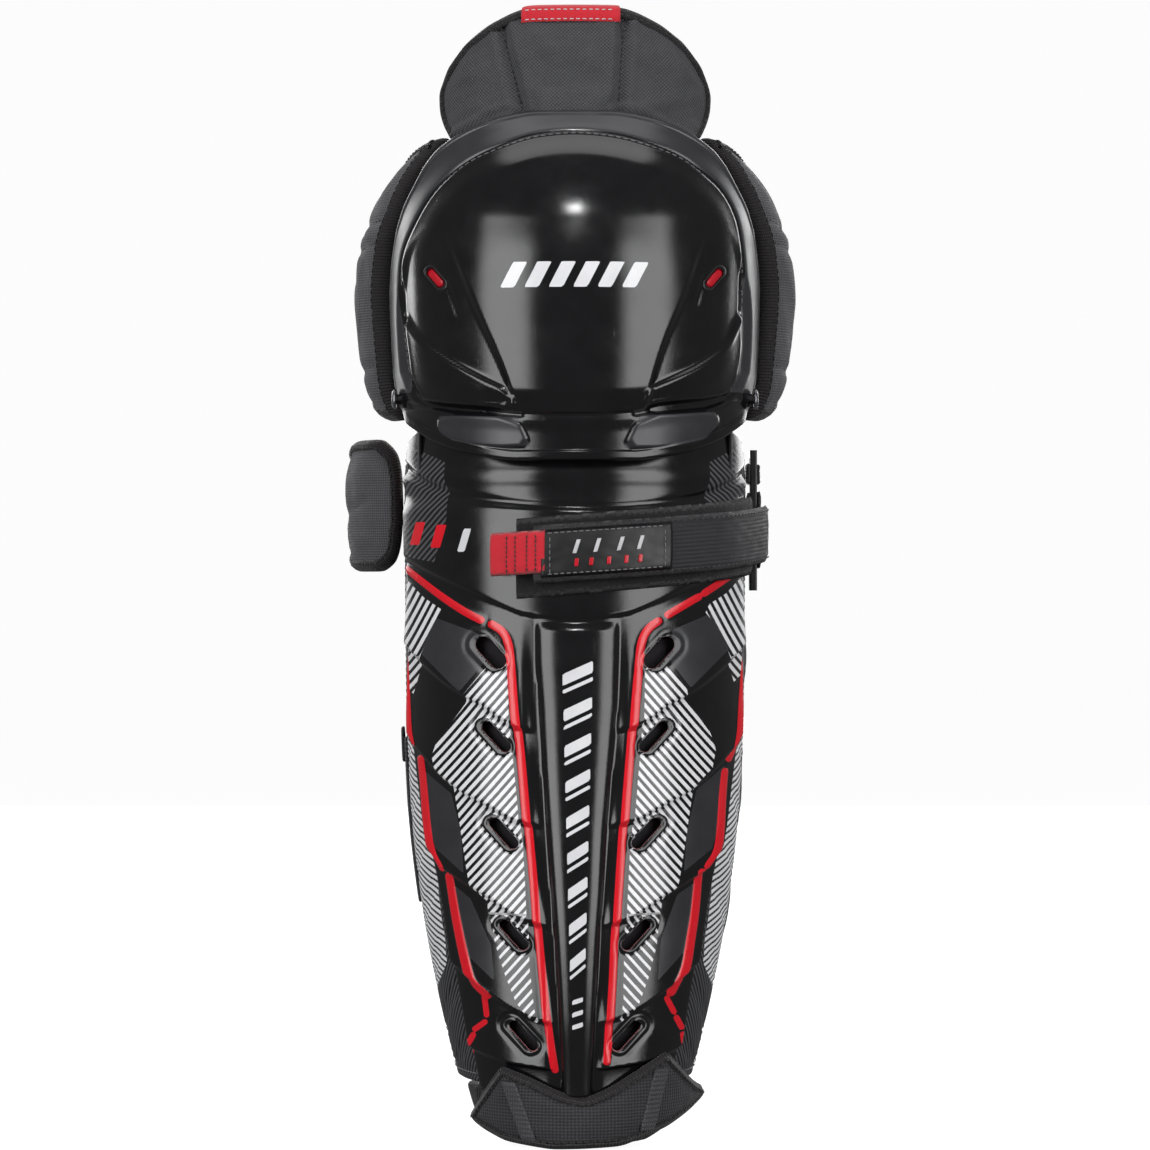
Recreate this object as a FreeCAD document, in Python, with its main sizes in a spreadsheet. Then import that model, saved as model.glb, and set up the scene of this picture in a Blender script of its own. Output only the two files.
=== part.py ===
"""Right-leg ice hockey shin guard, as a parametric FreeCAD document.

Frame: millimetres, +Z up the leg, -Y towards the front of the leg, +X towards the inner (medial) side.
The origin is the middle of the wearer's knee, in line with the knee cap's centre.

Every layer of the guard is a band: a strip of a leg-shaped surface, between two depths below it.
A surface gives, at each height, the half width and the depth of half an ellipse. Its position
along that curve is an angle: 0 at the front, 90 at the side, and straight back from there on.
"""
import FreeCAD
import Part
import Sketcher
import math
import os

V = FreeCAD.Vector
X_AXIS, Y_AXIS, Z_AXIS = V(1, 0, 0), V(0, 1, 0), V(0, 0, 1)

doc = FreeCAD.newDocument("shin_guard")

# ---------------------------------------------------------------- driving dimensions, mm and degrees

DIMENSIONS = {
    "shell_wall": 2.8,          # moulded knee cap and shin cap
    "shell_lift": 0.4,          # shin cap's clearance over the side panels
    "panel_wall": 2.0,
    "layer_gap": 0.4,           # between one layer and the next
    "foam_thick": 6.0,
    "lining_thick": 1.2,
    "pad_thick": 8.0,
    "knee_foam_thick": 8.0,
    "wing_pad_thick": 9.0,
    "thigh_pad_thick": 10.0,
    "liner_foam_thick": 7.2,
    "liner_cover_thick": 1.6,
    "ring_pad_thick": 3.0,
    "binding_width": 5.0,       # how far a binding reaches in from an edge
    "binding_proud": 0.4,       # how far it stands above the layers that it holds
    "touch_tape_thick": 1.1,
    "patch_half_angle": 24.0,
    "patch_height": 30.0,
    "front_slot_length": 18.0,
    "front_slot_width": 6.0,
    "knee_slot_length": 13.0,
    "knee_slot_width": 4.5,
    "pivot_y": -36.0,           # knee cap rivets, on a line along X
    "pivot_z": -52.6,
    "rivet_radius": 2.5,
    "rivet_clearance": 0.05,
    "rivet_head_radius": 5.0,
    "rivet_head_thick": 1.6,
    "rivet_head_x": 87.3,
    "ear_inner_x": 74.0,
    "ear_wall": 2.5,
    "ear_radius": 9.0,
    "washer_wall": 1.1,
    "washer_radius": 6.0,
    "web_thick": 1.4,
    "lock_web_width": 32.0,
    "lock_loop_width": 43.0,
    "ring_x": 88.5,             # strap ring on the inner side of the leg
    "ring_front_y": 5.0,
    "ring_rear_y": 15.0,
    "ring_low_z": -144.0,
    "ring_high_z": -78.0,
    "ring_wire": 3.6,
    "fold_clearance": 0.6,
    "knee_hole_x": 3.0,
    "knee_hole_z": -34.0,
    "knee_hole_width": 56.0,
    "knee_hole_height": 44.0,
    "donut_half_width": 44.0,
    "donut_half_height": 50.0,
    "pull_web_width": 8.0,
    "pull_leg_length": 30.0,
    "pull_spread": 13.4,
    "pull_top_z": 131.0,
    "pull_y": -41.5,
}

sheet = doc.addObject("Spreadsheet::Sheet", "Dimensions")
for row, (alias, value) in enumerate(DIMENSIONS.items(), start=1):
    sheet.set(f"A{row}", alias)
    sheet.set(f"B{row}", str(value))
    sheet.setAlias(f"B{row}", alias)
doc.recompute()


def dim(alias):
    return float(getattr(sheet, alias))


# ---------------------------------------------------------------- surfaces: (height, half width, depth)

SHIN = [(-60, 81, 84), (-95, 84, 87), (-150, 83.5, 86.5), (-200, 83, 86), (-250, 81, 84.5),
        (-300, 75.5, 81.5), (-346, 67, 77), (-387, 57, 71), (-418, 50, 67)]
KNEE = [(-86, 88, 96), (-60, 91, 101), (-30, 93, 105), (0, 94, 105.5), (30, 92, 100), (55, 88, 89),
        (75, 84, 75), (90, 79, 61)]
LINER = [(-410, 39, 53), (-387, 43.5, 57.2), (-346, 53.5, 63.3), (-300, 62, 67.8), (-250, 67.5, 70.8),
         (-200, 69.3, 72.3), (-150, 69.5, 72.8), (-92, 70.5, 73), (-75, 72, 72), (-60, 74, 77),
         (-45, 78, 81), (-20, 80, 84), (0, 80, 83), (20, 80, 79), (45, 76, 66), (58, 70, 57), (70, 66, 51)]
THIGH = [(52, 80, 74), (66, 80, 70), (75, 80, 66), (85, 80, 60), (100, 80, 58), (140, 80, 57)]
KNEE_WING = [(-70, 87, 64), (-60, 96, 67), (-45, 103, 69), (-20, 106.5, 70), (0, 108, 70), (25, 105.5, 70), (40, 100, 69),
             (52, 94.5, 68), (62, 88, 66), (70, 81, 64), (80, 70, 60)]
CALF_WING = [(-140, 33, 44), (-100, 35, 46), (-66, 33, 44)]

KNEE_WING_CENTRE_Y = 12.0
KNEE_WING_REAR_DEPTH = 70.0
CALF_WING_CENTRE = (-80.0, 60.0)
BACK_MM_PER_DEGREE = 1.5


def smooth(points, z):
    """The columns of a table at height z, by monotone cubic interpolation."""
    points = sorted(points)
    z = min(max(z, points[0][0]), points[-1][0])
    i = max(k for k in range(len(points) - 1) if points[k][0] <= z)
    values = []
    for column in range(1, len(points[0])):
        slope = [(b[column] - a[column]) / (b[0] - a[0]) for a, b in zip(points, points[1:])]

        def tangent(k):
            if k in (0, len(points) - 1):
                return slope[min(k, len(slope) - 1)]
            left, right = slope[k - 1], slope[k]
            return 0.0 if left * right <= 0 else 2 * left * right / (left + right)

        step = points[i + 1][0] - points[i][0]
        u = (z - points[i][0]) / step
        values.append(
            (2 * u**3 - 3 * u**2 + 1) * points[i][column]
            + (u**3 - 2 * u**2 + u) * step * tangent(i)
            + (3 * u**2 - 2 * u**3) * points[i + 1][column]
            + (u**3 - u**2) * step * tangent(i + 1)
        )
    return values


def leg_point(table, angle, z, depth_below):
    """A point of a leg-shaped surface. Past 90 degrees the surface runs straight back."""
    width, depth = smooth(table, z)
    width, depth = width - depth_below, depth - depth_below
    turn = math.radians(angle)
    if abs(angle) <= 90:
        return V(width * math.sin(turn), -depth * math.cos(turn), z)
    return V(math.copysign(width, angle), (abs(angle) - 90) * BACK_MM_PER_DEGREE, z)


def shin(angle, z, below):
    return leg_point(SHIN, angle, z, below)


def knee(angle, z, below):
    return leg_point(KNEE, angle, z, below)


def liner(angle, z, below):
    return leg_point(LINER, angle, z, below)


def thigh(angle, z, below):
    return leg_point(THIGH, angle, z, below)


def knee_wing(angle, z, below):
    """Flares out behind the knee cap's rim and then curls back around the knee."""
    width, depth = smooth(KNEE_WING, z)
    reach = depth if abs(angle) <= 90 else KNEE_WING_REAR_DEPTH
    turn = math.radians(angle)
    return V((width - below) * math.sin(turn), KNEE_WING_CENTRE_Y - (reach - below) * math.cos(turn), z)


def calf_wing(angle, z, below):
    """Stands out from the outer side of the calf and curls back."""
    width, depth = smooth(CALF_WING, z)
    turn = math.radians(angle)
    return V(CALF_WING_CENTRE[0] + (width - below) * math.sin(turn),
             CALF_WING_CENTRE[1] - (depth - below) * math.cos(turn), z)


def x_to_angle(table, x, z):
    return math.degrees(math.asin(max(-1.0, min(1.0, x / smooth(table, z)[0]))))


# ---------------------------------------------------------------- outlines: (height, first angle, last angle)

def both_sides(rows):
    """A symmetric outline from (height, half angle) rows."""
    return [(z, -a, a) for z, a in rows]


def mirrored(outline):
    return [(z, -last, -first) for z, first, last in outline]


def by_half_width(table, rows):
    return both_sides([(z, x_to_angle(table, x, z)) for z, x in rows])


KNEE_CAP = by_half_width(KNEE, [(-84, 30), (-82, 43), (-78.5, 58), (-73, 71), (-65, 82.5), (-54, 87.5), (-40, 89.5),
                                (-20, 90.5), (0, 91), (15, 90), (30, 88), (42, 84), (52, 78.5), (60, 74), (67, 68.5),
                                (73, 60), (78, 50), (82, 37.5), (85, 22)])
KNEE_FOAM = both_sides([(-62, 44), (-40, 51), (0, 54), (30, 51), (52, 40)])
KNEE_LINING = both_sides([(-64, 46), (-40, 53), (0, 56), (30, 53), (54, 42)])
SHIN_CAP = both_sides([(-66, 60), (-73, 74), (-100, 72), (-200, 70), (-250, 62), (-300, 54), (-350, 51), (-387, 49)])
SIDE_PANEL = [(-77, 76, 96), (-100, 66, 96), (-200, 64, 96), (-250, 56, 96), (-300, 48, 96), (-350, 45, 96),
              (-384, 44, 92)]
SHIN_LAYER = both_sides([(-92, 80), (-120, 86), (-200, 87), (-300, 87), (-350, 84), (-384, 76)])
LINER_SHIN = both_sides([(-402, 24), (-397, 44), (-386, 62), (-370, 76), (-345, 83), (-300, 86), (-260, 84),
                         (-220, 76), (-190, 65), (-160, 53), (-135, 43), (-112, 38), (-92, 42), (-81, 46)])
LINER_KNEE = both_sides([(-79, 46.5), (-65, 53), (-50, 60), (-30, 66), (-10, 68), (10, 67), (30, 62), (45, 56),
                         (57, 45), (64, 30), (68, 15)])
LINER_COVER = [(-390.5, -42, 42), (-386, -50, 50), (-376, -64, 60), (-368, -69.5, 46), (-360, -72, 37),
               (-346, -75.5, 27), (-321, -78.5, 22.5), (-297, -79.5, 23.5), (-260, -78, 26), (-248, -75, 27),
               (-200, -62.5, 31), (-160, -47, 33.5), (-125, -34.5, 30.5), (-112, -32.5, 32.5), (-92, -36, 36),
               (-87.5, -37, 37)]
LINER_PANEL = [(-368, 48, 67), (-360, 39, 71), (-346, 28.5, 75), (-321, 24, 78), (-297, 25, 79), (-260, 27.5, 78),
               (-248, 28.5, 75), (-220, 31, 69), (-200, 33, 62.5), (-160, 35.5, 46), (-140, 34.5, 38.8),
               (-130, 33, 36.2)]
THIGH_FLAP = by_half_width(THIGH, [(70, 60), (78, 64), (86, 66.5), (97, 67), (110, 62), (120, 54), (128, 43),
                                   (133, 32), (135.5, 24)])
KNEE_WING_PAD = [(77, 66, 82), (70, 65, 98), (52, 64, 111), (27, 64, 119), (0, 64, 124), (-24, 64, 122),
                 (-44, 65, 112), (-56, 66, 98), (-61.5, 67, 84)]
CALF_WING_PAD = [(-136, -78, -34), (-131, -100, -20), (-120, -122, -14), (-104, -134, -12), (-90, -130, -13),
                 (-78, -108, -18), (-70.5, -78, -34)]


def wrap_outline(rows):
    """(height, how far back the edge lies) to angles on the shin surface."""
    return [(z, 101, 90 + back / BACK_MM_PER_DEGREE) for z, back in rows]


MEDIAL_WRAP = wrap_outline([(-97, 28), (-106, 38), (-122, 48), (-160, 61), (-210, 66), (-260, 64), (-300, 56),
                            (-330, 42), (-344, 29)])
LATERAL_WRAP = mirrored(wrap_outline([(-97, 30), (-106, 42), (-122, 54), (-160, 66), (-210, 70), (-260, 68),
                                      (-310, 58), (-345, 41), (-358, 29)]))


def rows_between(outline, low, high):
    """The outline's own heights between two limits, with a row added half way between each pair."""
    heights = sorted({low, high} | {row[0] for row in outline if low < row[0] < high})
    middles = [(a + b) / 2 for a, b in zip(heights, heights[1:]) if b - a > 6]
    return [(z, *smooth(outline, z)) for z in sorted(heights + middles)]


def inset(outline, by, surface):
    """The outline moved in by a distance all round."""
    low, high = min(r[0] for r in outline), max(r[0] for r in outline)
    rows = []
    for z, first, last in rows_between(outline, low + by, high - by):
        middle = (first + last) / 2
        per_degree = (surface(middle + 0.5, z, 0) - surface(middle - 0.5, z, 0)).Length
        rows.append((z, first + by / per_degree, last - by / per_degree))
    return rows


# ---------------------------------------------------------------- shapes

POINTS_ACROSS = 13


def spline(points):
    curve = Part.BSplineCurve()
    curve.interpolate(points)
    return curve.toShape()


def ring_wire(outer, inner):
    """A closed wire of two splines and the two lines that join their ends."""
    back = list(reversed(inner))
    return Part.Wire([spline(outer), Part.makeLine(outer[-1], back[0]), spline(back),
                      Part.makeLine(back[-1], outer[0])])


def band(surface, outline, top, bottom):
    """The solid between two depths below a surface, inside an outline."""
    low, high = min(r[0] for r in outline), max(r[0] for r in outline)
    wires = []
    for z, first, last in rows_between(outline, low, high):
        angles = [first + (last - first) * k / (POINTS_ACROSS - 1) for k in range(POINTS_ACROSS)]
        wires.append(ring_wire([surface(a, z, top) for a in angles], [surface(a, z, bottom) for a in angles]))
    return Part.makeLoft(wires, True, False)


def ribbon(stations):
    """A strap: a loft through four-cornered sections, each given as its corner points."""
    wires = [Part.makePolygon([*corners, corners[0]]) for corners in stations]
    return Part.makeLoft(wires, True, True)


def slot_prism(x, z, angle, length, width, near_y, far_y):
    """A round-ended slot, turned by an angle from upright, run through along Y."""
    radius, straight = width / 2, (length - width) / 2
    side = V(radius, 0, 0)
    end = V(0, 0, straight)
    tip = V(0, 0, length / 2)
    outline = Part.Wire([
        Part.Arc(end + side, tip, end - side).toShape(),
        Part.makeLine(end - side, -end - side),
        Part.Arc(-end - side, -tip, -end + side).toShape(),
        Part.makeLine(-end + side, end + side),
    ])
    solid = Part.Face(outline).extrude(V(0, far_y - near_y, 0))
    solid.rotate(V(0, 0, 0), Y_AXIS, angle)
    solid.translate(V(x, near_y, z))
    return solid


def tube_x(x0, x1, y, z, radius):
    return Part.makeCylinder(radius, x1 - x0, V(x0, y, z), X_AXIS)


def one_solid(shape):
    return shape.Solids[0] if len(shape.Solids) == 1 else shape


def add(name, shape):
    """A sub-part whose shape comes from Part's own functions."""
    node = doc.addObject("Part::Feature", name)
    node.Label = name
    node.Shape = one_solid(shape)
    node.Placement = FreeCAD.Placement()
    nodes.append(node)
    return node


def add_cut(name, base, tool):
    """A sub-part that is one shape less another, kept as a Part::Cut of the two."""
    holders = []
    for suffix, shape in (("whole", base), ("tool", tool)):
        holder = doc.addObject("Part::Feature", f"{name}_{suffix}")
        holder.Shape = shape
        holders.append(holder)
    node = doc.addObject("Part::Cut", name)
    node.Base, node.Tool = holders
    node.Label = name
    nodes.append(node)
    return node


nodes = []


def add_binding(name, surface, outline, top, bottom):
    """The edge tape round a pad: a ring as wide as the binding, standing a little proud of the layers."""
    proud = dim("binding_proud")
    whole = band(surface, outline, top - proud, bottom + proud)
    hole = band(surface, inset(outline, dim("binding_width"), surface), top - 3, bottom + 3)
    return add_cut(name, whole, hole)


def inside_binding(outline, surface):
    return inset(outline, dim("binding_width") + 0.3, surface)


# ---------------------------------------------------------------- shin: shell, panels and lining

gap = dim("layer_gap")
shell_top = -(dim("shell_lift") + dim("shell_wall"))
foam_top = dim("panel_wall") + gap
foam_bottom = foam_top + dim("foam_thick")
lining_top = foam_bottom + gap
lining_bottom = lining_top + dim("lining_thick")
PIVOT_Y, PIVOT_Z = dim("pivot_y"), dim("pivot_z")

# Vent slots in the shin cap: (height, distance out from the middle), one on each side.
FRONT_SLOTS = [(-175, 40), (-215, 37.5), (-261, 34), (-309.5, 29), (-358, 24.5)]
FRONT_SLOT_LEAN = 43
SLOT_REACH = (-120, -40)


def front_slots():
    length, width = dim("front_slot_length"), dim("front_slot_width")
    return [slot_prism(side * x, z, side * FRONT_SLOT_LEAN, length, width, *SLOT_REACH)
            for z, x in FRONT_SLOTS for side in (-1, 1)]



def ear(side):
    """An upright tab that rises from the shin cap's neck to the knee cap's rivet."""
    inner, wall, radius = dim("ear_inner_x"), dim("ear_wall"), dim("ear_radius")
    outer = inner + wall
    start = inner if side > 0 else -outer
    disc = Part.makeCylinder(radius, wall, V(start, PIVOT_Y, PIVOT_Z), X_AXIS)
    foot_z, flat_z = -86, -68
    foot = []
    for depth, y in ((shell_top + 0.4, -radius), (shell_top + 0.4, radius), (-0.8, radius), (-0.8, -radius)):
        width, reach = (size - depth for size in smooth(SHIN, foot_z))
        foot.append(V(side * width * math.sqrt(1 - ((PIVOT_Y + y) / reach) ** 2), PIVOT_Y + y, foot_z))
    flat = [V(side * x, PIVOT_Y + y, flat_z) for x, y in ((outer, -radius), (outer, radius), (inner, radius),
                                                          (inner, -radius))]
    top = [V(corner.x, corner.y, PIVOT_Z) for corner in flat]
    hole = Part.makeCylinder(dim("rivet_radius") + dim("rivet_clearance"), wall + 2,
                             V(start - 1, PIVOT_Y, PIVOT_Z), X_AXIS)
    return disc.fuse([ribbon([foot, flat]), ribbon([flat, top])]).cut(hole)


def make_shin_cap():
    shell = band(shin, SHIN_CAP, shell_top, -dim("shell_lift"))
    whole = shell.fuse([ear(-1), ear(1)])
    add_cut("shin_cap", one_solid(whole), Part.makeCompound(front_slots()))


def make_shin_layers():
    add("side_panel_medial", band(shin, SIDE_PANEL, 0, dim("panel_wall")))
    add("side_panel_lateral", band(shin, mirrored(SIDE_PANEL), 0, dim("panel_wall")))
    add("shin_foam", band(shin, inset(SHIN_LAYER, 1.5, shin), foam_top, foam_bottom))
    add("shin_lining", band(shin, SHIN_LAYER, lining_top, lining_bottom))
    add("shin_touch_tape", touch_tape(shin, lining_bottom + 0.3))
    base = both_sides([(-412, 46), (-407, 66), (-398, 76), (-386, 80)])
    add("base_binding", band(shin, base, panel_clear, lining_bottom + dim("binding_proud")))


PATCH_HEIGHTS = (-135, -240, -345)


def touch_tape(surface, top):
    """Three patches of touch tape, one above another."""
    half, tall, wall = dim("patch_half_angle"), dim("patch_height") / 2, dim("touch_tape_thick")
    return Part.makeCompound([band(surface, both_sides([(z - tall, half), (z + tall, half)]), top, top + wall)
                              for z in PATCH_HEIGHTS])


# ---------------------------------------------------------------- pivots, built from bound primitives

def cylinder(name, radius, length, start_x):
    """A cylinder on the pivot line, its sizes bound to the sheet."""
    item = doc.addObject("Part::Cylinder", name)
    item.Placement = FreeCAD.Placement(V(0, 0, 0), FreeCAD.Rotation(Y_AXIS, 90))
    item.setExpression("Radius", radius)
    item.setExpression("Height", length)
    item.setExpression("Placement.Base.x", start_x)
    item.setExpression("Placement.Base.y", "Dimensions.pivot_y")
    item.setExpression("Placement.Base.z", "Dimensions.pivot_z")
    return item


def on_both_sides(name, right):
    """A sub-part made of one item and its mirror image across the middle of the leg."""
    left = doc.addObject("Part::Mirroring", f"{name}_mirror")
    left.Source = right
    left.Normal = X_AXIS
    node = doc.addObject("Part::Compound", name)
    node.Links = [right, left]
    node.Label = name
    nodes.append(node)
    return node


def make_rivets():
    """The knee cap turns on two rivets held in the shin cap's ears, with a washer on each."""
    tail_x = "Dimensions.ear_inner_x - 0.2 - Dimensions.rivet_head_thick"
    head_x = "Dimensions.rivet_head_x"
    stem = cylinder("rivet_stem", "Dimensions.rivet_radius", f"{head_x} - ({tail_x})", tail_x)
    tail = cylinder("rivet_tail", "Dimensions.rivet_head_radius - 1", "Dimensions.rivet_head_thick", tail_x)
    head = cylinder("rivet_head", "Dimensions.rivet_head_radius", "Dimensions.rivet_head_thick", head_x)
    rivet = doc.addObject("Part::MultiFuse", "rivet")
    rivet.Shapes = [stem, tail, head]
    on_both_sides("pivot_rivets", rivet)

    washer_x = "Dimensions.ear_inner_x + Dimensions.ear_wall + 0.2"
    disc = cylinder("washer_disc", "Dimensions.washer_radius", "Dimensions.washer_wall", washer_x)
    bore = cylinder("washer_bore", "Dimensions.rivet_radius + Dimensions.rivet_clearance",
                    "Dimensions.washer_wall", washer_x)
    washer = doc.addObject("Part::Cut", "washer")
    washer.Base, washer.Tool = disc, bore
    on_both_sides("pivot_washers", washer)


# ---------------------------------------------------------------- strap ring and lock strap

def draw_rectangle(sketch, sides):
    """A rectangle in a sketch, its four sides bound to expressions: left, bottom, right, top."""
    first = sketch.GeometryCount
    corners = [V(0, 0, 0), V(10, 0, 0), V(10, 10, 0), V(0, 10, 0)]
    for start, end in zip(corners, corners[1:] + corners[:1]):
        sketch.addGeometry(Part.LineSegment(start, end))
    for k in range(4):
        sketch.addConstraint(Sketcher.Constraint("Coincident", first + k, 2, first + (k + 1) % 4, 1))
        sketch.addConstraint(Sketcher.Constraint("Vertical" if k % 2 else "Horizontal", first + k))
    origin = (-1, 1)
    for kind, line, point, expression in (("DistanceX", 0, 1, sides[0]), ("DistanceY", 0, 1, sides[1]),
                                          ("DistanceX", 1, 2, sides[2]), ("DistanceY", 1, 2, sides[3])):
        index = sketch.addConstraint(Sketcher.Constraint(kind, *origin, first + line, point, 1.0))
        sketch.setExpression(f"Constraints[{index}]", expression)


def make_strap_ring():
    """A flat rectangular ring that stands along the inner side of the leg."""
    body = doc.addObject("PartDesign::Body", "strap_ring")
    body.Label = "strap_ring"
    sketch = body.newObject("Sketcher::SketchObject", "ring_outline")
    sketch.Placement = FreeCAD.Placement(V(dim("ring_x"), 0, 0), FreeCAD.Rotation(V(1, 1, 1), 120))
    half = "Dimensions.ring_wire / 2"
    inner = ("Dimensions.ring_front_y", "Dimensions.ring_low_z", "Dimensions.ring_rear_y", "Dimensions.ring_high_z")
    draw_rectangle(sketch, [f"{side} {sign} {half}" for side, sign in zip(inner, "--++")])
    draw_rectangle(sketch, [f"{side} {sign} {half}" for side, sign in zip(inner, "++--")])
    pad = body.newObject("PartDesign::Pad", "ring_pad")
    pad.Profile = sketch
    pad.Midplane = True
    pad.setExpression("Length", "Dimensions.ring_wire")
    doc.recompute()
    upright = [f"Edge{k + 1}" for k, edge in enumerate(pad.Shape.Edges) if edge.Length > 20]
    round_over = body.newObject("PartDesign::Fillet", "ring_round")
    round_over.Base = (pad, upright)
    round_over.Radius = 0.8
    body.Tip = round_over
    nodes.append(body)


def strap_sections(path, height_of, width, wall):
    """Upright rectangular sections along a path of (x, y) points, each square to the path."""
    sections = []
    for k, (x, y) in enumerate(path):
        before, after = path[max(k - 1, 0)], path[min(k + 1, len(path) - 1)]
        run = V(after[0] - before[0], after[1] - before[1], 0).normalize()
        side = V(-run.y, run.x, 0) * (wall / 2)
        middle = V(x, y, height_of(k / (len(path) - 1)))
        up = V(0, 0, width / 2)
        sections.append([middle + side + up, middle - side + up, middle - side - up, middle + side - up])
    return sections


def fold_path(centre_y):
    """Half a turn around one of the ring's bars, from the inner side to the outer side."""
    radius = dim("ring_wire") / 2 + dim("fold_clearance") + dim("web_thick") / 2
    turns = [math.radians(180 - step * 30) for step in range(7)]
    return [(dim("ring_x") + radius * math.cos(turn), centre_y + radius * math.sin(turn)) for turn in turns]


def make_lock_strap_loop():
    """The strap's fixed layer: over the shin cap, around the ring's front bar and out again."""
    below = shell_top - 0.7 - dim("web_thick") / 2
    on_shell = [(p.x, p.y) for p in (shin(angle, -125, below) for angle in range(-17, 74, 7))]
    to_ring = [(85.2, -24), (85.6, -8)]
    path = on_shell + to_ring + fold_path(dim("ring_front_y")) + [(91.5, 3.0)]
    sections = strap_sections(path, lambda part: -133 + 17 * part, dim("lock_loop_width"), dim("web_thick"))
    add("lock_strap_loop", ribbon(sections))


def make_ring_tab():
    """A short strap, sewn to the side panel, that goes around the ring's rear bar."""
    path = [(85.4, -9), (85.4, 0), (85.4, 9)] + fold_path(dim("ring_rear_y")) + [(91.4, 13), (91.2, 11.2)]
    sections = strap_sections(path, lambda part: -88, 10, dim("web_thick"))
    add("ring_tab", ribbon(sections))


def make_lock_strap():
    """The strap's free layer: webbing, its touch tape, its label plate and its end tab."""
    wall = dim("web_thick")
    tape_below = -7.0
    web_below = tape_below - wall
    web_angles = list(range(-14, 60, 8))
    web = [(p.x, p.y) for p in (shin(angle, -125, web_below) for angle in web_angles)]
    to_fold = [(84.8, -38), (90.4, -22), (93.4, -8), (93.4, 1.5)]
    sections = strap_sections(web + to_fold, lambda part: -131 + 14 * part, dim("lock_web_width"), wall)
    add("lock_strap_web", ribbon(sections))
    under_web = [(p.x, p.y) for p in (shin(angle, -127, tape_below) for angle in range(-10, 32, 7))]
    add("lock_strap_touch_tape", ribbon(strap_sections(under_web, lambda part: -131 + 5 * part, 28, 1.0)))
    over_web = [(p.x, p.y) for p in (shin(angle, -127, web_below - 1.7) for angle in range(-13, 31, 7))]
    add("lock_strap_label", ribbon(strap_sections(over_web, lambda part: -131 + 5 * part, 26, 1.6)))
    end_tab = [(p.x, p.y) for p in (shin(angle, -125, web_below) for angle in (-25, -20, -14.6))]
    add("lock_strap_tab", ribbon(strap_sections(end_tab, lambda part: -131.5 + part, 20, wall)))


# ---------------------------------------------------------------- knee

KNEE_SLOT = (66.5, 4, 40)     # x, z and lean


def knee_slots(margin):
    x, z, lean = KNEE_SLOT
    length, width = dim("knee_slot_length") - margin, dim("knee_slot_width") - margin
    return Part.makeCompound([slot_prism(side * x, z, side * lean, length, width, -100, -40) for side in (-1, 1)])


def make_knee():
    cap = band(knee, KNEE_CAP, 0, dim("shell_wall") + 0.2)
    bore = Part.makeCylinder(dim("rivet_radius") + dim("rivet_clearance"), 240, V(-120, PIVOT_Y, PIVOT_Z), X_AXIS)
    add_cut("knee_cap", cap, Part.makeCompound([bore, knee_slots(0)]))
    foam_from = dim("shell_wall") + 0.2 + gap
    foam_to = foam_from + dim("knee_foam_thick")
    add("knee_foam", band(knee, KNEE_FOAM, foam_from, foam_to))
    add("knee_lining", band(knee, KNEE_LINING, foam_to + gap, foam_to + gap + dim("lining_thick")))
    backing = band(knee, both_sides([(-12, 58), (18, 58)]), 1.2, dim("shell_wall") + 0.2)
    add("knee_vent_inserts", backing.common(knee_slots(0.3)))


# ---------------------------------------------------------------- pads with a lining and a binding

def make_padded(prefix, surface, outline, thick, top=0.0):
    """A pad: foam, a mesh lining on the leg's side, and a binding around the edge of both."""
    inner = inside_binding(outline, surface)
    add(f"{prefix}_pad", band(surface, inner, top, top + thick))
    lining_from = top + thick + 0.3
    add(f"{prefix}_lining", band(surface, inner, lining_from, lining_from + dim("lining_thick")))
    add_binding(f"{prefix}_binding", surface, outline, top, lining_from + dim("lining_thick"))


def make_wings():
    thick = dim("wing_pad_thick") - 1.5
    make_padded("knee_wing_medial", knee_wing, KNEE_WING_PAD, thick)
    make_padded("knee_wing_lateral", knee_wing, mirrored(KNEE_WING_PAD), thick)
    make_padded("calf_wing", calf_wing, CALF_WING_PAD, thick)
    strap = [(-124, -128, -40), (-116, -130, -22), (-104, -130, -17), (-92, -126, -18), (-84, -110, -25)]
    slant = band(calf_wing, strap, thick + 2.2, thick + 3.0)
    box = Part.makeBox(80, 110, 20, V(-130, 4, -10))
    box.rotate(V(0, 0, 0), X_AXIS, 12)
    box.translate(V(0, 0, -116))
    add("calf_wing_stripe", slant.common(box))


def make_wraps():
    make_padded("calf_wrap_medial", shin, MEDIAL_WRAP, dim("pad_thick"))
    make_padded("calf_wrap_lateral", shin, LATERAL_WRAP, dim("pad_thick"))
    inner_face = dim("pad_thick") + 0.3 + dim("lining_thick") + 0.3
    accent = mirrored(wrap_outline([(-160, 54), (-210, 58), (-260, 57), (-320, 41)]))
    accent = [(z, first, -90 - (back - 9) / BACK_MM_PER_DEGREE) for z, first, back in
              [(z, first, -(first + 90) * BACK_MM_PER_DEGREE) for z, first, last in accent]]
    add("calf_accent", band(shin, accent, inner_face, inner_face + 0.8))
    label = wrap_outline([(-266, 57), (-212, 60)])
    label = [(z, 90 + 45 / BACK_MM_PER_DEGREE, last) for z, first, last in label]
    add("side_label", band(shin, label, inner_face, inner_face + 0.8))
    outer_strap = mirrored([(-302, 103, 124), (-219, 103, 131)])
    add("calf_strap_outer", band(shin, outer_strap, -2.2, -0.8))
    keeper = mirrored([(-232, 107, 116), (-214, 107, 116)])
    add("strap_keeper", band(shin, keeper, -4.2, -2.6))
    inner_strap = mirrored([(-282, 106, 116), (-196, 106, 116)])
    add("calf_strap_inner", band(shin, inner_strap, inner_face + 1.2, inner_face + 2.6))
    strap_tab = mirrored([(-268, 116.6, 121), (-202, 116.6, 121)])
    add("calf_strap_tab", band(shin, strap_tab, inner_face + 1.2, inner_face + 2.6))


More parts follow.
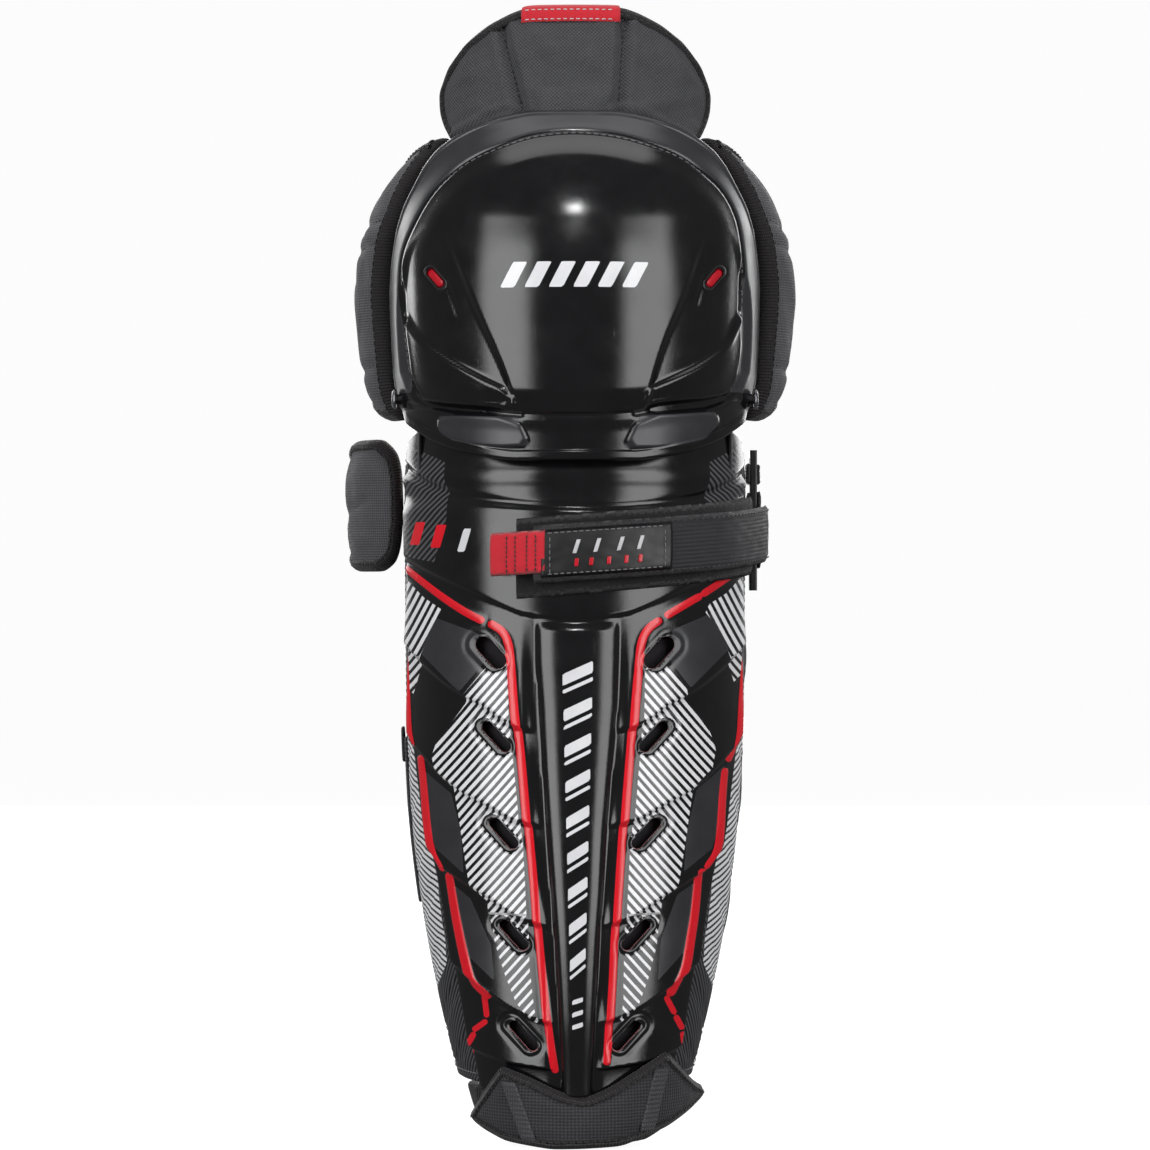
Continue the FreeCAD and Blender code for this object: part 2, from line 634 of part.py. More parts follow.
# ---------------------------------------------------------------- thigh flap

def make_thigh():
    make_padded("thigh", thigh, THIGH_FLAP, dim("thigh_pad_thick") - 1.0)
    tab = by_half_width(THIGH, [(127.5, 24), (135.8, 22)])
    add("thigh_tab", band(thigh, tab, -1.6, -0.5))


def make_pull_loop():
    """Two slanting webs that meet in a V, hung from the flap's top edge on the leg's side."""
    legs = []
    for name, side in (("pull_web_medial", 1), ("pull_web_lateral", -1)):
        leg = doc.addObject("Part::Box", name)
        leg.setExpression("Length", "Dimensions.pull_web_width")
        leg.setExpression("Width", "Dimensions.web_thick")
        leg.setExpression("Height", "Dimensions.pull_leg_length")
        lean = math.degrees(math.atan2(dim("pull_spread"), dim("pull_leg_length")))
        leg.Placement.Rotation = FreeCAD.Rotation(Y_AXIS, side * lean)
        leg.setExpression("Placement.Base.x", "-Dimensions.pull_web_width / 2")
        leg.setExpression("Placement.Base.y", "Dimensions.pull_y")
        leg.setExpression("Placement.Base.z", "Dimensions.pull_top_z - Dimensions.pull_leg_length")
        legs.append(leg)
    loop = doc.addObject("Part::MultiFuse", "pull_loop")
    loop.Shapes = legs
    loop.Label = "pull_loop"
    nodes.append(loop)


# ---------------------------------------------------------------- removable liner

def oval_prism(half_width, half_height):
    major, minor = sorted((half_width, half_height), reverse=True)
    oval = Part.Ellipse(V(0, 0, 0), major, minor)
    solid = Part.Face(Part.Wire(oval.toShape())).extrude(V(0, 0, 90))
    if half_height > half_width:
        solid.rotate(V(0, 0, 0), Z_AXIS, 90)
    solid.rotate(V(0, 0, 0), X_AXIS, 90)
    solid.translate(V(dim("knee_hole_x"), -30, dim("knee_hole_z")))
    return solid


def make_liner():
    thick, cover = dim("liner_foam_thick"), dim("liner_cover_thick")
    cover_top = thick + 0.6
    bottom = cover_top + cover
    add("liner_foam", band(liner, inside_binding(LINER_SHIN, liner), 0, thick))
    add("liner_cover", band(liner, LINER_COVER, cover_top, bottom))
    add("liner_side_panel", band(liner, LINER_PANEL, cover_top, bottom + 0.8))
    add_binding("liner_binding", liner, LINER_SHIN, 0, bottom)
    add("liner_touch_tape", touch_tape(liner, -dim("binding_proud") - dim("touch_tape_thick")))

    hole = oval_prism(dim("knee_hole_width") / 2, dim("knee_hole_height") / 2)
    knee_inner = inside_binding(LINER_KNEE, liner)
    add_cut("liner_knee_foam", band(liner, knee_inner, 0, thick), hole)
    add_cut("liner_knee_cover", band(liner, knee_inner, cover_top, bottom), hole)
    add_binding("liner_knee_binding", liner, LINER_KNEE, 0, bottom)
    donut = oval_prism(dim("donut_half_width"), dim("donut_half_height")).cut(hole)
    region = both_sides([(-78, 44), (-50, 50), (0, 50), (22, 50)])
    ring_from = bottom + 1.7
    add("knee_ring_pad", band(liner, region, ring_from, ring_from + dim("ring_pad_thick")).common(donut))
    plug = oval_prism(dim("knee_hole_width") / 2 - 0.3, dim("knee_hole_height") / 2 - 0.3)
    region = both_sides([(-70, 30), (0, 30)])
    add("knee_mesh", band(liner, region, 1, 2.5).common(plug))
    label = [(50, -47, -34), (58, -42, -32)]
    add("liner_label", band(liner, label, bottom + 0.7, bottom + 1.5))


# ---------------------------------------------------------------- ankle flap

ANKLE = [(-411.5, -20, 20), (-408, -34, 33), (-401, -46, 46), (-394, -44, 55), (-380, -36, 49), (-367, -29, 41)]
ANKLE_FOAM = [(-404, -38, 38), (-398, -42, 46), (-391, -41, 50)]


def at_width(rows, depth):
    return [(z, *(math.degrees(math.asin(x / (smooth(SHIN, z)[0] - depth))) for x in (first, last)))
            for z, first, last in rows]


def make_ankle_flap():
    """A textured face over the shin cap's lower edge, with a V cut in its top edge, and foam below."""
    face = band(shin, at_width(ANKLE, -7), -7.0, -4.3)
    notch = Part.Face(Part.makePolygon([V(-80, -120, -374), V(-33, -120, -374), V(4, -120, -388), V(40, -120, -367),
                                        V(80, -120, -367), V(80, -120, -350), V(-80, -120, -350),
                                        V(-80, -120, -374)])).extrude(V(0, 120, 0))
    add_cut("ankle_face", face, notch)
    add("ankle_foam", band(shin, at_width(ANKLE_FOAM, 0), -3.5, dim("panel_wall") - 0.8))


# ---------------------------------------------------------------- build, check and write

panel_clear = dim("panel_wall") + gap

make_shin_cap()
make_shin_layers()
make_rivets()
make_strap_ring()
make_lock_strap_loop()
make_ring_tab()
make_lock_strap()
make_knee()
make_wings()
make_wraps()
make_thigh()
make_pull_loop()
make_liner()
make_ankle_flap()

doc.recompute()
bad = [item.Name for item in doc.Objects if {"Invalid", "Error"} & set(item.State)]
if bad:
    raise RuntimeError(f"objects in error: {bad}")
os.makedirs("parts", exist_ok=True)
for node in nodes:
    if node.Shape.isNull() or not node.Shape.isValid():
        raise RuntimeError(f"bad shape: {node.Label}")
    node.Shape.exportStep(f"parts/{node.Label}.step")
print(len(nodes), "parts written")
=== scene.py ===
"""The looks of an ice hockey shin guard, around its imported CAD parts. Lengths are in mm up to make_mesh."""
import copy
import math

import bmesh
import bpy
import numpy as np
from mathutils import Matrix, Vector
from mathutils.kdtree import KDTree


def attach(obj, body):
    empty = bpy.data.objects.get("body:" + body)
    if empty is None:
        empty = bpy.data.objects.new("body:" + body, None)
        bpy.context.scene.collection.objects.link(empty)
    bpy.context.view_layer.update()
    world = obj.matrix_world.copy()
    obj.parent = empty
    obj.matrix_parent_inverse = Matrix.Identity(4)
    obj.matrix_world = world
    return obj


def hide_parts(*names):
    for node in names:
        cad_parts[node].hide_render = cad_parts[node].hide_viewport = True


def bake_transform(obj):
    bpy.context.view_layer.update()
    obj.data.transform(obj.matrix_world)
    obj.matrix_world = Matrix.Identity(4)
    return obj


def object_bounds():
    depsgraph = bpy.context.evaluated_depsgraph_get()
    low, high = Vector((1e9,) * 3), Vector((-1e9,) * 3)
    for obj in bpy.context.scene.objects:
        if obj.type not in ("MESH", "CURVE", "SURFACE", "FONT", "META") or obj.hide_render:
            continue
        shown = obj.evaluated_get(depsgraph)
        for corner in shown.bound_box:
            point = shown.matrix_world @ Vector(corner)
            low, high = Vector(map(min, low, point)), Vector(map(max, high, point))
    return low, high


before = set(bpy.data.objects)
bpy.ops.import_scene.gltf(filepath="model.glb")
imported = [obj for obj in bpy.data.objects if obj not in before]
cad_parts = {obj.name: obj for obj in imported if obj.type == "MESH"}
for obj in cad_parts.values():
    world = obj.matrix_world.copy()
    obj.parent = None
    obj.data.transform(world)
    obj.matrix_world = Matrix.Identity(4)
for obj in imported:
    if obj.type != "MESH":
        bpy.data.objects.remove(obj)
cad_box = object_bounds()
MM = 0.001
WELD_DISTANCE = 0.02 * MM

# ---------------------------------------------------------------- surfaces, the same tables as the CAD's

SHIN = [(-60, 81, 84), (-95, 84, 87), (-150, 83.5, 86.5), (-200, 83, 86), (-250, 81, 84.5),
        (-300, 75.5, 81.5), (-346, 67, 77), (-387, 57, 71), (-418, 50, 67)]
KNEE = [(-86, 88, 96), (-60, 91, 101), (-30, 93, 105), (0, 94, 105.5), (30, 92, 100), (55, 88, 89),
        (75, 84, 75), (90, 79, 61)]
LINER = [(-410, 39, 53), (-387, 43.5, 57.2), (-346, 53.5, 63.3), (-300, 62, 67.8), (-250, 67.5, 70.8),
         (-200, 69.3, 72.3), (-150, 69.5, 72.8), (-92, 70.5, 73), (-75, 72, 72), (-60, 74, 77),
         (-45, 78, 81), (-20, 80, 84), (0, 80, 83), (20, 80, 79), (45, 76, 66), (58, 70, 57), (70, 66, 51)]
THIGH = [(52, 80, 74), (66, 80, 70), (75, 80, 66), (85, 80, 60), (100, 80, 58), (140, 80, 57)]
KNEE_WING = [(-70, 87, 64), (-60, 96, 67), (-45, 103, 69), (-20, 106.5, 70), (0, 108, 70), (25, 105.5, 70),
             (40, 100, 69), (52, 94.5, 68), (62, 88, 66), (70, 81, 64), (80, 70, 60)]
CALF_WING = [(-140, 33, 44), (-100, 35, 46), (-66, 33, 44)]
BACK_MM_PER_DEGREE = 1.5


def smooth(points, z):
    """A table's columns at heights z, by monotone cubic interpolation."""
    t = np.array(sorted(map(tuple, points)), float)
    x, values = t[:, 0], t[:, 1:]
    z = np.clip(np.asarray(z, float), x[0], x[-1])
    i = np.clip(np.searchsorted(x, z, side="right") - 1, 0, len(x) - 2)
    step = np.diff(x)
    slope = np.diff(values, axis=0) / step[:, None]
    tangent = np.vstack([slope[:1], slope])
    left, right = slope[:-1], slope[1:]
    safe = np.where(left * right > 0, left + right, 1.0)
    tangent[1:-1] = np.where(left * right > 0, 2 * left * right / safe, 0.0)
    tangent[-1] = slope[-1]
    h = step[i]
    u = ((z - x[i]) / h)[..., None]
    h = h[..., None]
    return ((2 * u**3 - 3 * u**2 + 1) * values[i] + (u**3 - 2 * u**2 + u) * h * tangent[i]
            + (3 * u**2 - 2 * u**3) * values[i + 1] + (u**3 - u**2) * h * tangent[i + 1])


def leg_surface(table):
    def place(angle, z, below):
        size = smooth(table, z)
        width, depth = size[..., 0] - below, size[..., 1] - below
        turn = np.radians(angle)
        behind = np.abs(angle) > 90
        x = np.where(behind, np.copysign(width, angle), width * np.sin(turn))
        y = np.where(behind, (np.abs(angle) - 90) * BACK_MM_PER_DEGREE, -depth * np.cos(turn))
        return np.stack([x, y, z + 0 * x], axis=-1)
    return place


shin, knee, liner, thigh = (leg_surface(t) for t in (SHIN, KNEE, LINER, THIGH))


def knee_wing(angle, z, below):
    size = smooth(KNEE_WING, z)
    width, depth = size[..., 0], size[..., 1]
    reach = np.where(np.abs(angle) <= 90, depth, 70.0)
    turn = np.radians(angle)
    x = (width - below) * np.sin(turn)
    return np.stack([x, 12 - (reach - below) * np.cos(turn), z + 0 * x], axis=-1)


def calf_wing(angle, z, below):
    size = smooth(CALF_WING, z)
    turn = np.radians(angle)
    x = -80 + (size[..., 0] - below) * np.sin(turn)
    return np.stack([x, 60 - (size[..., 1] - below) * np.cos(turn), z + 0 * x], axis=-1)


def x_angle(table, x, z):
    return np.degrees(np.arcsin(np.clip(np.asarray(x, float) / smooth(table, z)[..., 0], -1, 1)))


# ---------------------------------------------------------------- flat drawing tools

def distance_along(line):
    """How far along a line each of its points is."""
    return np.concatenate([[0], np.cumsum(np.linalg.norm(np.diff(line, axis=0), axis=1))])


def points_at(at, run, points):
    """The points of a line at given distances along it."""
    return np.stack([np.interp(at, run, column) for column in points.T], axis=1)


def resample(points, spacing, closed=False):
    """The points of a line, moved to even spacing along it."""
    p = np.array(points, float)
    if closed:
        p = np.vstack([p, p[:1]])
    run = distance_along(p)
    count = max(3, int(round(run[-1] / spacing)))
    out = points_at(np.linspace(0, run[-1], count + 1), run, p)
    return out[:-1] if closed else out


def counter_clockwise(loop):
    area = np.sum(loop[:, 0] * np.roll(loop[:, 1], -1) - np.roll(loop[:, 0], -1) * loop[:, 1])
    return loop if area > 0 else loop[::-1]


def curve(points, spacing=2.0, closed=False, rounds=3):
    """A line through points with its corners softened (Chaikin's corner cutting), evenly resampled."""
    p = np.array(points, float)
    for _ in range(rounds):
        following = np.roll(p, -1, axis=0) if closed else p[1:]
        start = p if closed else p[:-1]
        cut = np.stack([0.75 * start + 0.25 * following, 0.25 * start + 0.75 * following], axis=1)
        cut = cut.reshape(-1, p.shape[1])
        p = cut if closed else np.vstack([p[:1], cut, p[-1:]])
    return resample(p, spacing, closed)


def line_distance(x, z, line, closed=False):
    """Distance from points to a line of straight pieces, and how far along it the nearest place is."""
    p = np.array(line, float)
    if closed:
        p = np.vstack([p, p[:1]])
    best = np.full(np.shape(x), 1e9)
    along = np.zeros(np.shape(x))
    run = 0.0
    for a, b in zip(p, p[1:]):
        d = b - a
        length = math.hypot(*d) or 1e-9
        u = np.clip(((x - a[0]) * d[0] + (z - a[1]) * d[1]) / length**2, 0, 1)
        gap = np.hypot(x - a[0] - u * d[0], z - a[1] - u * d[1])
        nearer = gap < best
        best = np.where(nearer, gap, best)
        along = np.where(nearer, run + u * length, along)
        run += length
    return best, along


def inside_of(x, z, polygon):
    """How far inside a polygon points are; negative outside."""
    p = np.array(polygon, float)
    crossings = np.zeros(np.shape(x), bool)
    for a, b in zip(p, np.roll(p, -1, axis=0)):
        if a[1] == b[1]:
            continue
        spans = (a[1] > z) != (b[1] > z)
        crossings ^= spans & (x < (b[0] - a[0]) * (z - a[1]) / (b[1] - a[1]) + a[0])
    distance, _ = line_distance(x, z, p, closed=True)
    return np.where(crossings, distance, -distance)


def mirror(points):
    return [(-x, z) for x, z in points]


def ramp(value, start, end):
    """0 before start, 1 after end, smooth between."""
    u = np.clip((value - start) / (end - start), 0, 1)
    return u * u * (3 - 2 * u)


def bump(distance, width):
    return np.exp(-(distance / width) ** 2)


def ripple(value, seed, wavelength):
    """A smooth, repeatable irregular wave between about -1 and 1."""
    turn = 2 * math.pi * value / wavelength
    waves = [math.sin(seed * 12.9 * k) * np.sin(turn * (0.6 + 0.37 * k) + seed * k) for k in range(1, 5)]
    return sum(waves) / 2


# ---------------------------------------------------------------- patches of a surface

class Patch:
    """Part of a surface laid flat: s runs around the leg, z up it, both in mm."""

    by_columns = False

    def __init__(self, surface, outline=None, front=None, table=None, middle=0.0, smoothing=2, spacing=2.0):
        self.surface = surface
        if outline is not None:
            rows = np.array(sorted(outline), float)
            dense = np.linspace(rows[0, 0], rows[-1, 0], 60)
            first, last = smooth(rows, dense).T
            loop = list(zip(last, dense)) + list(zip(first[::-1], dense[::-1]))
        else:
            loop = [(float(x_angle(table, x, z)), z) for x, z in resample(front, 3.0, closed=True)]
        loop = np.array(loop)
        low, high = loop[:, 1].min() - 6, loop[:, 1].max() + 6
        self.heights = np.linspace(low, high, 80)
        angles = np.linspace(-175, 175, 701)
        at = surface(*np.meshgrid(angles, self.heights), 0.0)
        run = np.cumsum(np.linalg.norm(np.diff(at[..., :2], axis=1), axis=-1), axis=1)
        run = np.concatenate([np.zeros((len(self.heights), 1)), run], axis=1)
        zero = np.array([np.interp(middle, angles, row) for row in run])
        run -= zero[:, None]
        self.angles, self.run = angles, run
        self.s_grid = np.linspace(-300, 300, 1201)
        self.inverse = np.array([np.interp(self.s_grid, row, angles) for row in run])
        flat = np.stack([self.s_of(loop[:, 0], loop[:, 1]), loop[:, 1]], axis=1)
        flat = resample(flat, spacing, closed=True)
        for _ in range(smoothing):
            flat = 0.5 * flat + 0.25 * (np.roll(flat, 1, axis=0) + np.roll(flat, -1, axis=0))
        self.edge = counter_clockwise(flat)

    def inset(self, by):
        """The same patch with its edge moved in."""
        inner = copy.copy(self)
        inner.edge = self.edge + inward_normals(self.edge) * by
        return inner

    def _lookup(self, grid, columns, column_value, z):
        rows = self.heights
        zi = np.clip((z - rows[0]) / (rows[1] - rows[0]), 0, len(rows) - 1.001)
        ci = np.clip((column_value - columns[0]) / (columns[1] - columns[0]), 0, len(columns) - 1.001)
        a, b = zi.astype(int), ci.astype(int)
        u, v = zi - a, ci - b
        return ((1 - u) * ((1 - v) * grid[a, b] + v * grid[a, b + 1])
                + u * ((1 - v) * grid[a + 1, b] + v * grid[a + 1, b + 1]))

    def s_of(self, angle, z):
        return self._lookup(self.run, self.angles, np.asarray(angle, float), np.asarray(z, float))

    def angle_of(self, s, z):
        return self._lookup(self.inverse, self.s_grid, np.asarray(s, float), np.asarray(z, float))

    def place(self, s, z, below):
        return self.surface(self.angle_of(s, z), z, below)

    def edge_distance(self, s, z):
        return line_distance(s, z, self.edge[::2], closed=True)[0]

    def grid(self, step):
        """Rows of points from edge to edge, closer by the edges. by_columns makes them run upward."""
        if self.by_columns:
            turned_patch = copy.copy(self)
            turned_patch.by_columns = False
            turned_patch.edge = np.stack([-self.edge[:, 1], self.edge[:, 0]], axis=1)
            z, s = turned_patch.grid(step)
            return s, -z
        top, bottom = int(np.argmax(self.edge[:, 1])), int(np.argmin(self.edge[:, 1]))
        loop = np.roll(self.edge, -bottom, axis=0)
        split = (top - bottom) % len(loop)
        right = np.array(sorted(loop[:split + 1].tolist(), key=lambda p: p[1]))
        left = np.array(sorted(np.vstack([loop[split:], loop[:1]]).tolist(), key=lambda p: p[1]))
        low, high = loop[0, 1], loop[split, 1]
        count = int((high - low) / step * 1.25) + 4
        v = np.linspace(0, 1, count)
        v = 0.45 * v + 0.55 * (1 - np.cos(math.pi * v)) / 2
        z = low + (high - low) * v
        start, end = np.interp(z, left[:, 1], left[:, 0]), np.interp(z, right[:, 1], right[:, 0])
        near = np.array([0, 0.35, 0.9, 1.7, 2.8])
        across = int((end - start).max() / step) + 3
        rows = []
        for a, b in zip(start, end):
            scale = min(1.0, 0.25 * (b - a) / near[-1])
            e = near * scale
            middle = np.linspace(a + e[-1], b - e[-1], across)
            rows.append(np.concatenate([a + e[:-1], middle, (b - e[:-1])[::-1]]))
        s = np.array(rows)
        return s, z[:, None] + 0 * s


def round_off(distance, radius):
    """How far a rounded edge has fallen away, by distance in from the edge."""
    u = np.clip(1 - distance / radius, 0, 1)
    return radius * (1 - np.sqrt(1 - u * u))


# ---------------------------------------------------------------- meshes

def make_mesh(name, points, faces, material, fields=None, face_materials=None):
    mesh = bpy.data.meshes.new(name)
    mesh.from_pydata((np.asarray(points, float) * MM).tolist(), [], [list(map(int, f)) for f in faces])
    item = bpy.data.objects.new(name, mesh)
    bpy.context.scene.collection.objects.link(item)
    for m in material if isinstance(material, (list, tuple)) else [material]:
        mesh.materials.append(m)
    if face_materials is not None:
        mesh.polygons.foreach_set("material_index", np.asarray(face_materials, np.int32))
    for key, values in (fields or {}).items():
        values = np.asarray(values, np.float32)
        if values.ndim == 2:
            mesh.attributes.new(key, "FLOAT_VECTOR", "POINT").data.foreach_set("vector", values.ravel())
        else:
            mesh.attributes.new(key, "FLOAT", "POINT").data.foreach_set("value", values)
    mesh.polygons.foreach_set("use_smooth", [True] * len(mesh.polygons))
    mesh.update()
    return item


def weld(item):
    work = bmesh.new()
    work.from_mesh(item.data)
    bmesh.ops.remove_doubles(work, verts=work.verts, dist=WELD_DISTANCE)
    bmesh.ops.recalc_face_normals(work, faces=work.faces)
    work.to_mesh(item.data)
    work.free()
    return item


def grid_faces(rows, columns, offset=0, flip=False):
    i = np.arange(rows - 1)[:, None] * columns + np.arange(columns - 1)[None, :] + offset
    quads = np.stack([i, i + 1, i + columns + 1, i + columns], axis=-1).reshape(-1, 4)
    return quads[:, ::-1] if flip else quads


def slab(name, patch, step, top, bottom, materials, edge_round=None, outer=None, inner=None, fields=None):
    """A closed solid over a patch, between two depths. outer and inner add height to its faces."""
    s, z = patch.grid(step)
    distance = patch.edge_distance(s, z)
    x = patch.place(s, z, 0.0)[..., 0]
    spot = {"s": s, "z": z, "x": x, "d": distance}
    radius = (bottom - top) / 2 if edge_round is None else edge_round
    fall = round_off(distance, radius) if radius > 0 else 0 * s
    high = top + fall - (outer(spot) if outer else 0)
    deep = bottom - fall + (inner(spot) if inner else 0)
    points = np.vstack([patch.place(s, z, high).reshape(-1, 3), patch.place(s, z, deep).reshape(-1, 3)])
    rows, columns = s.shape
    size = rows * columns
    index = np.arange(size).reshape(rows, columns)
    rim = np.concatenate([index[0, :-1], index[:-1, -1], index[-1, :0:-1], index[:0:-1, 0]])
    walls = np.stack([rim, rim + size, np.roll(rim, -1) + size, np.roll(rim, -1)], axis=-1)
    outside, inside = grid_faces(rows, columns), grid_faces(rows, columns, size, flip=True)
    faces = np.vstack([outside, inside, walls])
    flat = np.stack([s, z, distance], axis=-1).reshape(-1, 3)
    data = {"flat": np.vstack([flat, flat])}
    for key, values in (fields(spot) if fields else {}).items():
        values = np.broadcast_to(values, s.shape).reshape(-1)
        data[key] = np.concatenate([values, np.full(size, -9.0)])
    which = np.concatenate([np.zeros(len(outside)), np.ones(len(inside)), np.zeros(len(walls))])
    if not isinstance(materials, (list, tuple)):
        which = 0 * which
    return weld(make_mesh(name, points, faces, materials, data, which))


def sweep(name, rings, material, fields=None, closed=True, ends=False):
    """A solid through rings of points, (stations, corners, 3). closed joins the last ring to the first."""
    count, corners = rings.shape[:2]
    stations = np.arange(count if closed else count - 1)
    i = stations[:, None] * corners + np.arange(corners)[None, :]
    j = ((stations + 1) % count)[:, None] * corners + np.arange(corners)[None, :]
    faces = np.stack([i, np.roll(i, -1, axis=1), np.roll(j, -1, axis=1), j], axis=-1).reshape(-1, 4).tolist()
    if ends and not closed:
        faces.append(list(range(corners))[::-1])
        faces.append(list(range((count - 1) * corners, count * corners)))
    return weld(make_mesh(name, rings.reshape(-1, 3), faces, material, fields))


def drawn_flat(rings):
    """The flat place of each point of some rings: its x and z."""
    return {"flat": np.stack([rings[..., 0], rings[..., 2], 0 * rings[..., 0]], axis=-1).reshape(-1, 3)}


def inward_normals(line):
    run = np.roll(line, -1, axis=0) - np.roll(line, 1, axis=0)
    run /= np.linalg.norm(run, axis=1)[:, None]
    return np.stack([-run[:, 1], run[:, 0]], axis=1)


def binding(name, patch, top, bottom, width, material, seed=1.0, proud=0.9, back_width=None, keep=None):
    """Edge tape: a folded strip around a patch's edge, gripping both faces."""
    line = resample(patch.edge, 1.6, closed=True)
    normal = inward_normals(line)
    if keep:
        kept = keep(line)
        first = int(np.argmax(kept & ~np.roll(kept, 1)))
        chosen = np.roll(np.arange(len(line)), -first)[:int(kept.sum())]
        line, normal = line[chosen], normal[chosen]
    middle, half = (top + bottom) / 2, (bottom - top) / 2

    def skin(reach, face, sign):
        """One face of the tape, from its inner edge out, as (inset, depth)."""
        steps = [(reach, -0.5), (reach - 0.15, 0.45 * proud), (reach - 1.1, proud),
                 (reach * 0.72, 0.75 * proud), (reach * 0.45, proud), (2.0, 0.8 * proud), (0.5, -0.22 * half)]
        return [(inset, face + sign * rise) for inset, rise in steps]
    fold_line = [(-0.35, middle - 0.35 * half), (-0.45, middle), (-0.35, middle + 0.35 * half)]
    section = skin(width, top, -1) + fold_line + skin(back_width or width, bottom, 1)[::-1]
    section += [(3.0, bottom - 0.8), (2.2, middle), (3.0, top + 0.8)]
    run = np.arange(len(line)) * 1.6
    wave = ripple(run, seed, 21.0) * 0.22 + ripple(run, seed + 3, 7.0) * 0.1
    rings, flat = [], []
    around = 0.0
    for k, (inset, depth) in enumerate(section):
        if k:
            around += math.hypot(inset - section[k - 1][0], depth - section[k - 1][1])
        on_skin = k < 17
        shift = inset + (wave * 0.9 if on_skin and inset > 1 else 0)
        s, z = line[:, 0] + normal[:, 0] * shift, line[:, 1] + normal[:, 1] * shift
        on_face = on_skin and abs(depth - middle) > 0.5 * half
        lift = math.copysign(0.5, depth - middle) * wave if on_face else 0
        rings.append(patch.place(s, z, depth + lift))
        flat.append(np.stack([run, np.full(len(run), around), 0 * run], axis=1))
    rings, flat = np.stack(rings, axis=1), np.stack(flat, axis=1).reshape(-1, 3)
    return sweep(name, rings, material, {"flat": flat}, closed=not keep, ends=bool(keep))


def stitches(name, path, material, length=2.4, gap=1.1, radius=0.28, lift=0.25, out=None):
    """Threads along a 3-D path. out gives the direction that they arch in, a vector per point of the path."""
    path = np.asarray(path, float)
    out = np.tile([0, -1.0, 0], (len(path), 1)) if out is None else np.asarray(out, float)
    rough_run = distance_along(path)
    run = np.linspace(0, rough_run[-1], int(rough_run[-1] / 0.4) + 2)
    p, n = points_at(run, rough_run, path), points_at(run, rough_run, out)
    n = n / np.maximum(np.linalg.norm(n, axis=1), 1e-6)[:, None]
    starts = np.arange(0.3, run[-1] - length, length + gap)
    points, faces = [], []
    sides = 6
    for start in starts:
        base = len(points)
        at = start + length * np.array([0, 0.12, 0.5, 0.88, 1.0])
        centre, up = points_at(at, run, p), points_at(at, run, n)
        forward = centre[-1] - centre[0]
        forward /= np.linalg.norm(forward) + 1e-9
        for c, u, thick, rise in zip(centre, up, (0.4, 0.9, 1.0, 0.9, 0.4), (-0.6, 0.3, 1.0, 0.3, -0.6)):
            side = np.cross(forward, u)
            side /= np.linalg.norm(side) + 1e-9
            for turn in 2 * math.pi * np.arange(sides) / sides:
                around = math.cos(turn) * side + math.sin(turn) * u
                points.append(c + u * lift * rise + radius * thick * around)
        for ring in range(4):
            for k in range(sides):
                a, b = base + ring * sides + k, base + ring * sides + (k + 1) % sides
                faces.append([a, b, b + sides, a + sides])
        faces.append([base + k for k in range(sides)][::-1])
        faces.append([base + 4 * sides + k for k in range(sides)])
    return make_mesh(name, np.array(points), faces, material)


def outward(patch, s, z, below):
    """The direction out of the surface."""
    return patch.place(s, z, below - 1.0) - patch.place(s, z, below)


def flat_stitches(name, patch, line, below, material, **options):
    """Stitches along a line drawn on a patch in (s, z)."""
    s, z = line[:, 0], line[:, 1]
    depth = below(s, z) if callable(below) else np.full(len(s), below)
    return stitches(name, patch.place(s, z, depth), material, out=outward(patch, s, z, depth), **options)


def offset_line(patch, inset):
    """A line a distance in from a patch's edge."""
    line = patch.edge + inward_normals(patch.edge) * inset
    line = np.vstack([line, line[:1]])
    run = distance_along(line)
    return points_at(np.linspace(0, run[-1], 400), run, line)


def edge_seam(name, patch, inset, below, body, slot_name, thread_material=None, **options):
    """Stitches a distance in from a patch's edge."""
    line = offset_line(patch, inset)
    ride(flat_stitches(name, patch, line, below, thread_material or BLACK_THREAD, **options), body, slot_name)


def ride(item, body, slot_name, *nodes):
    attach(item, body)
    if nodes:
        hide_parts(*nodes)
    return item


# ---------------------------------------------------------------- shader building

def rgb(red, green, blue):
    """A linear colour from 0-255 display values."""
    def linear(value):
        value /= 255
        return value / 12.92 if value <= 0.04045 else ((value + 0.055) / 1.055) ** 2.4
    return (linear(red), linear(green), linear(blue), 1.0)


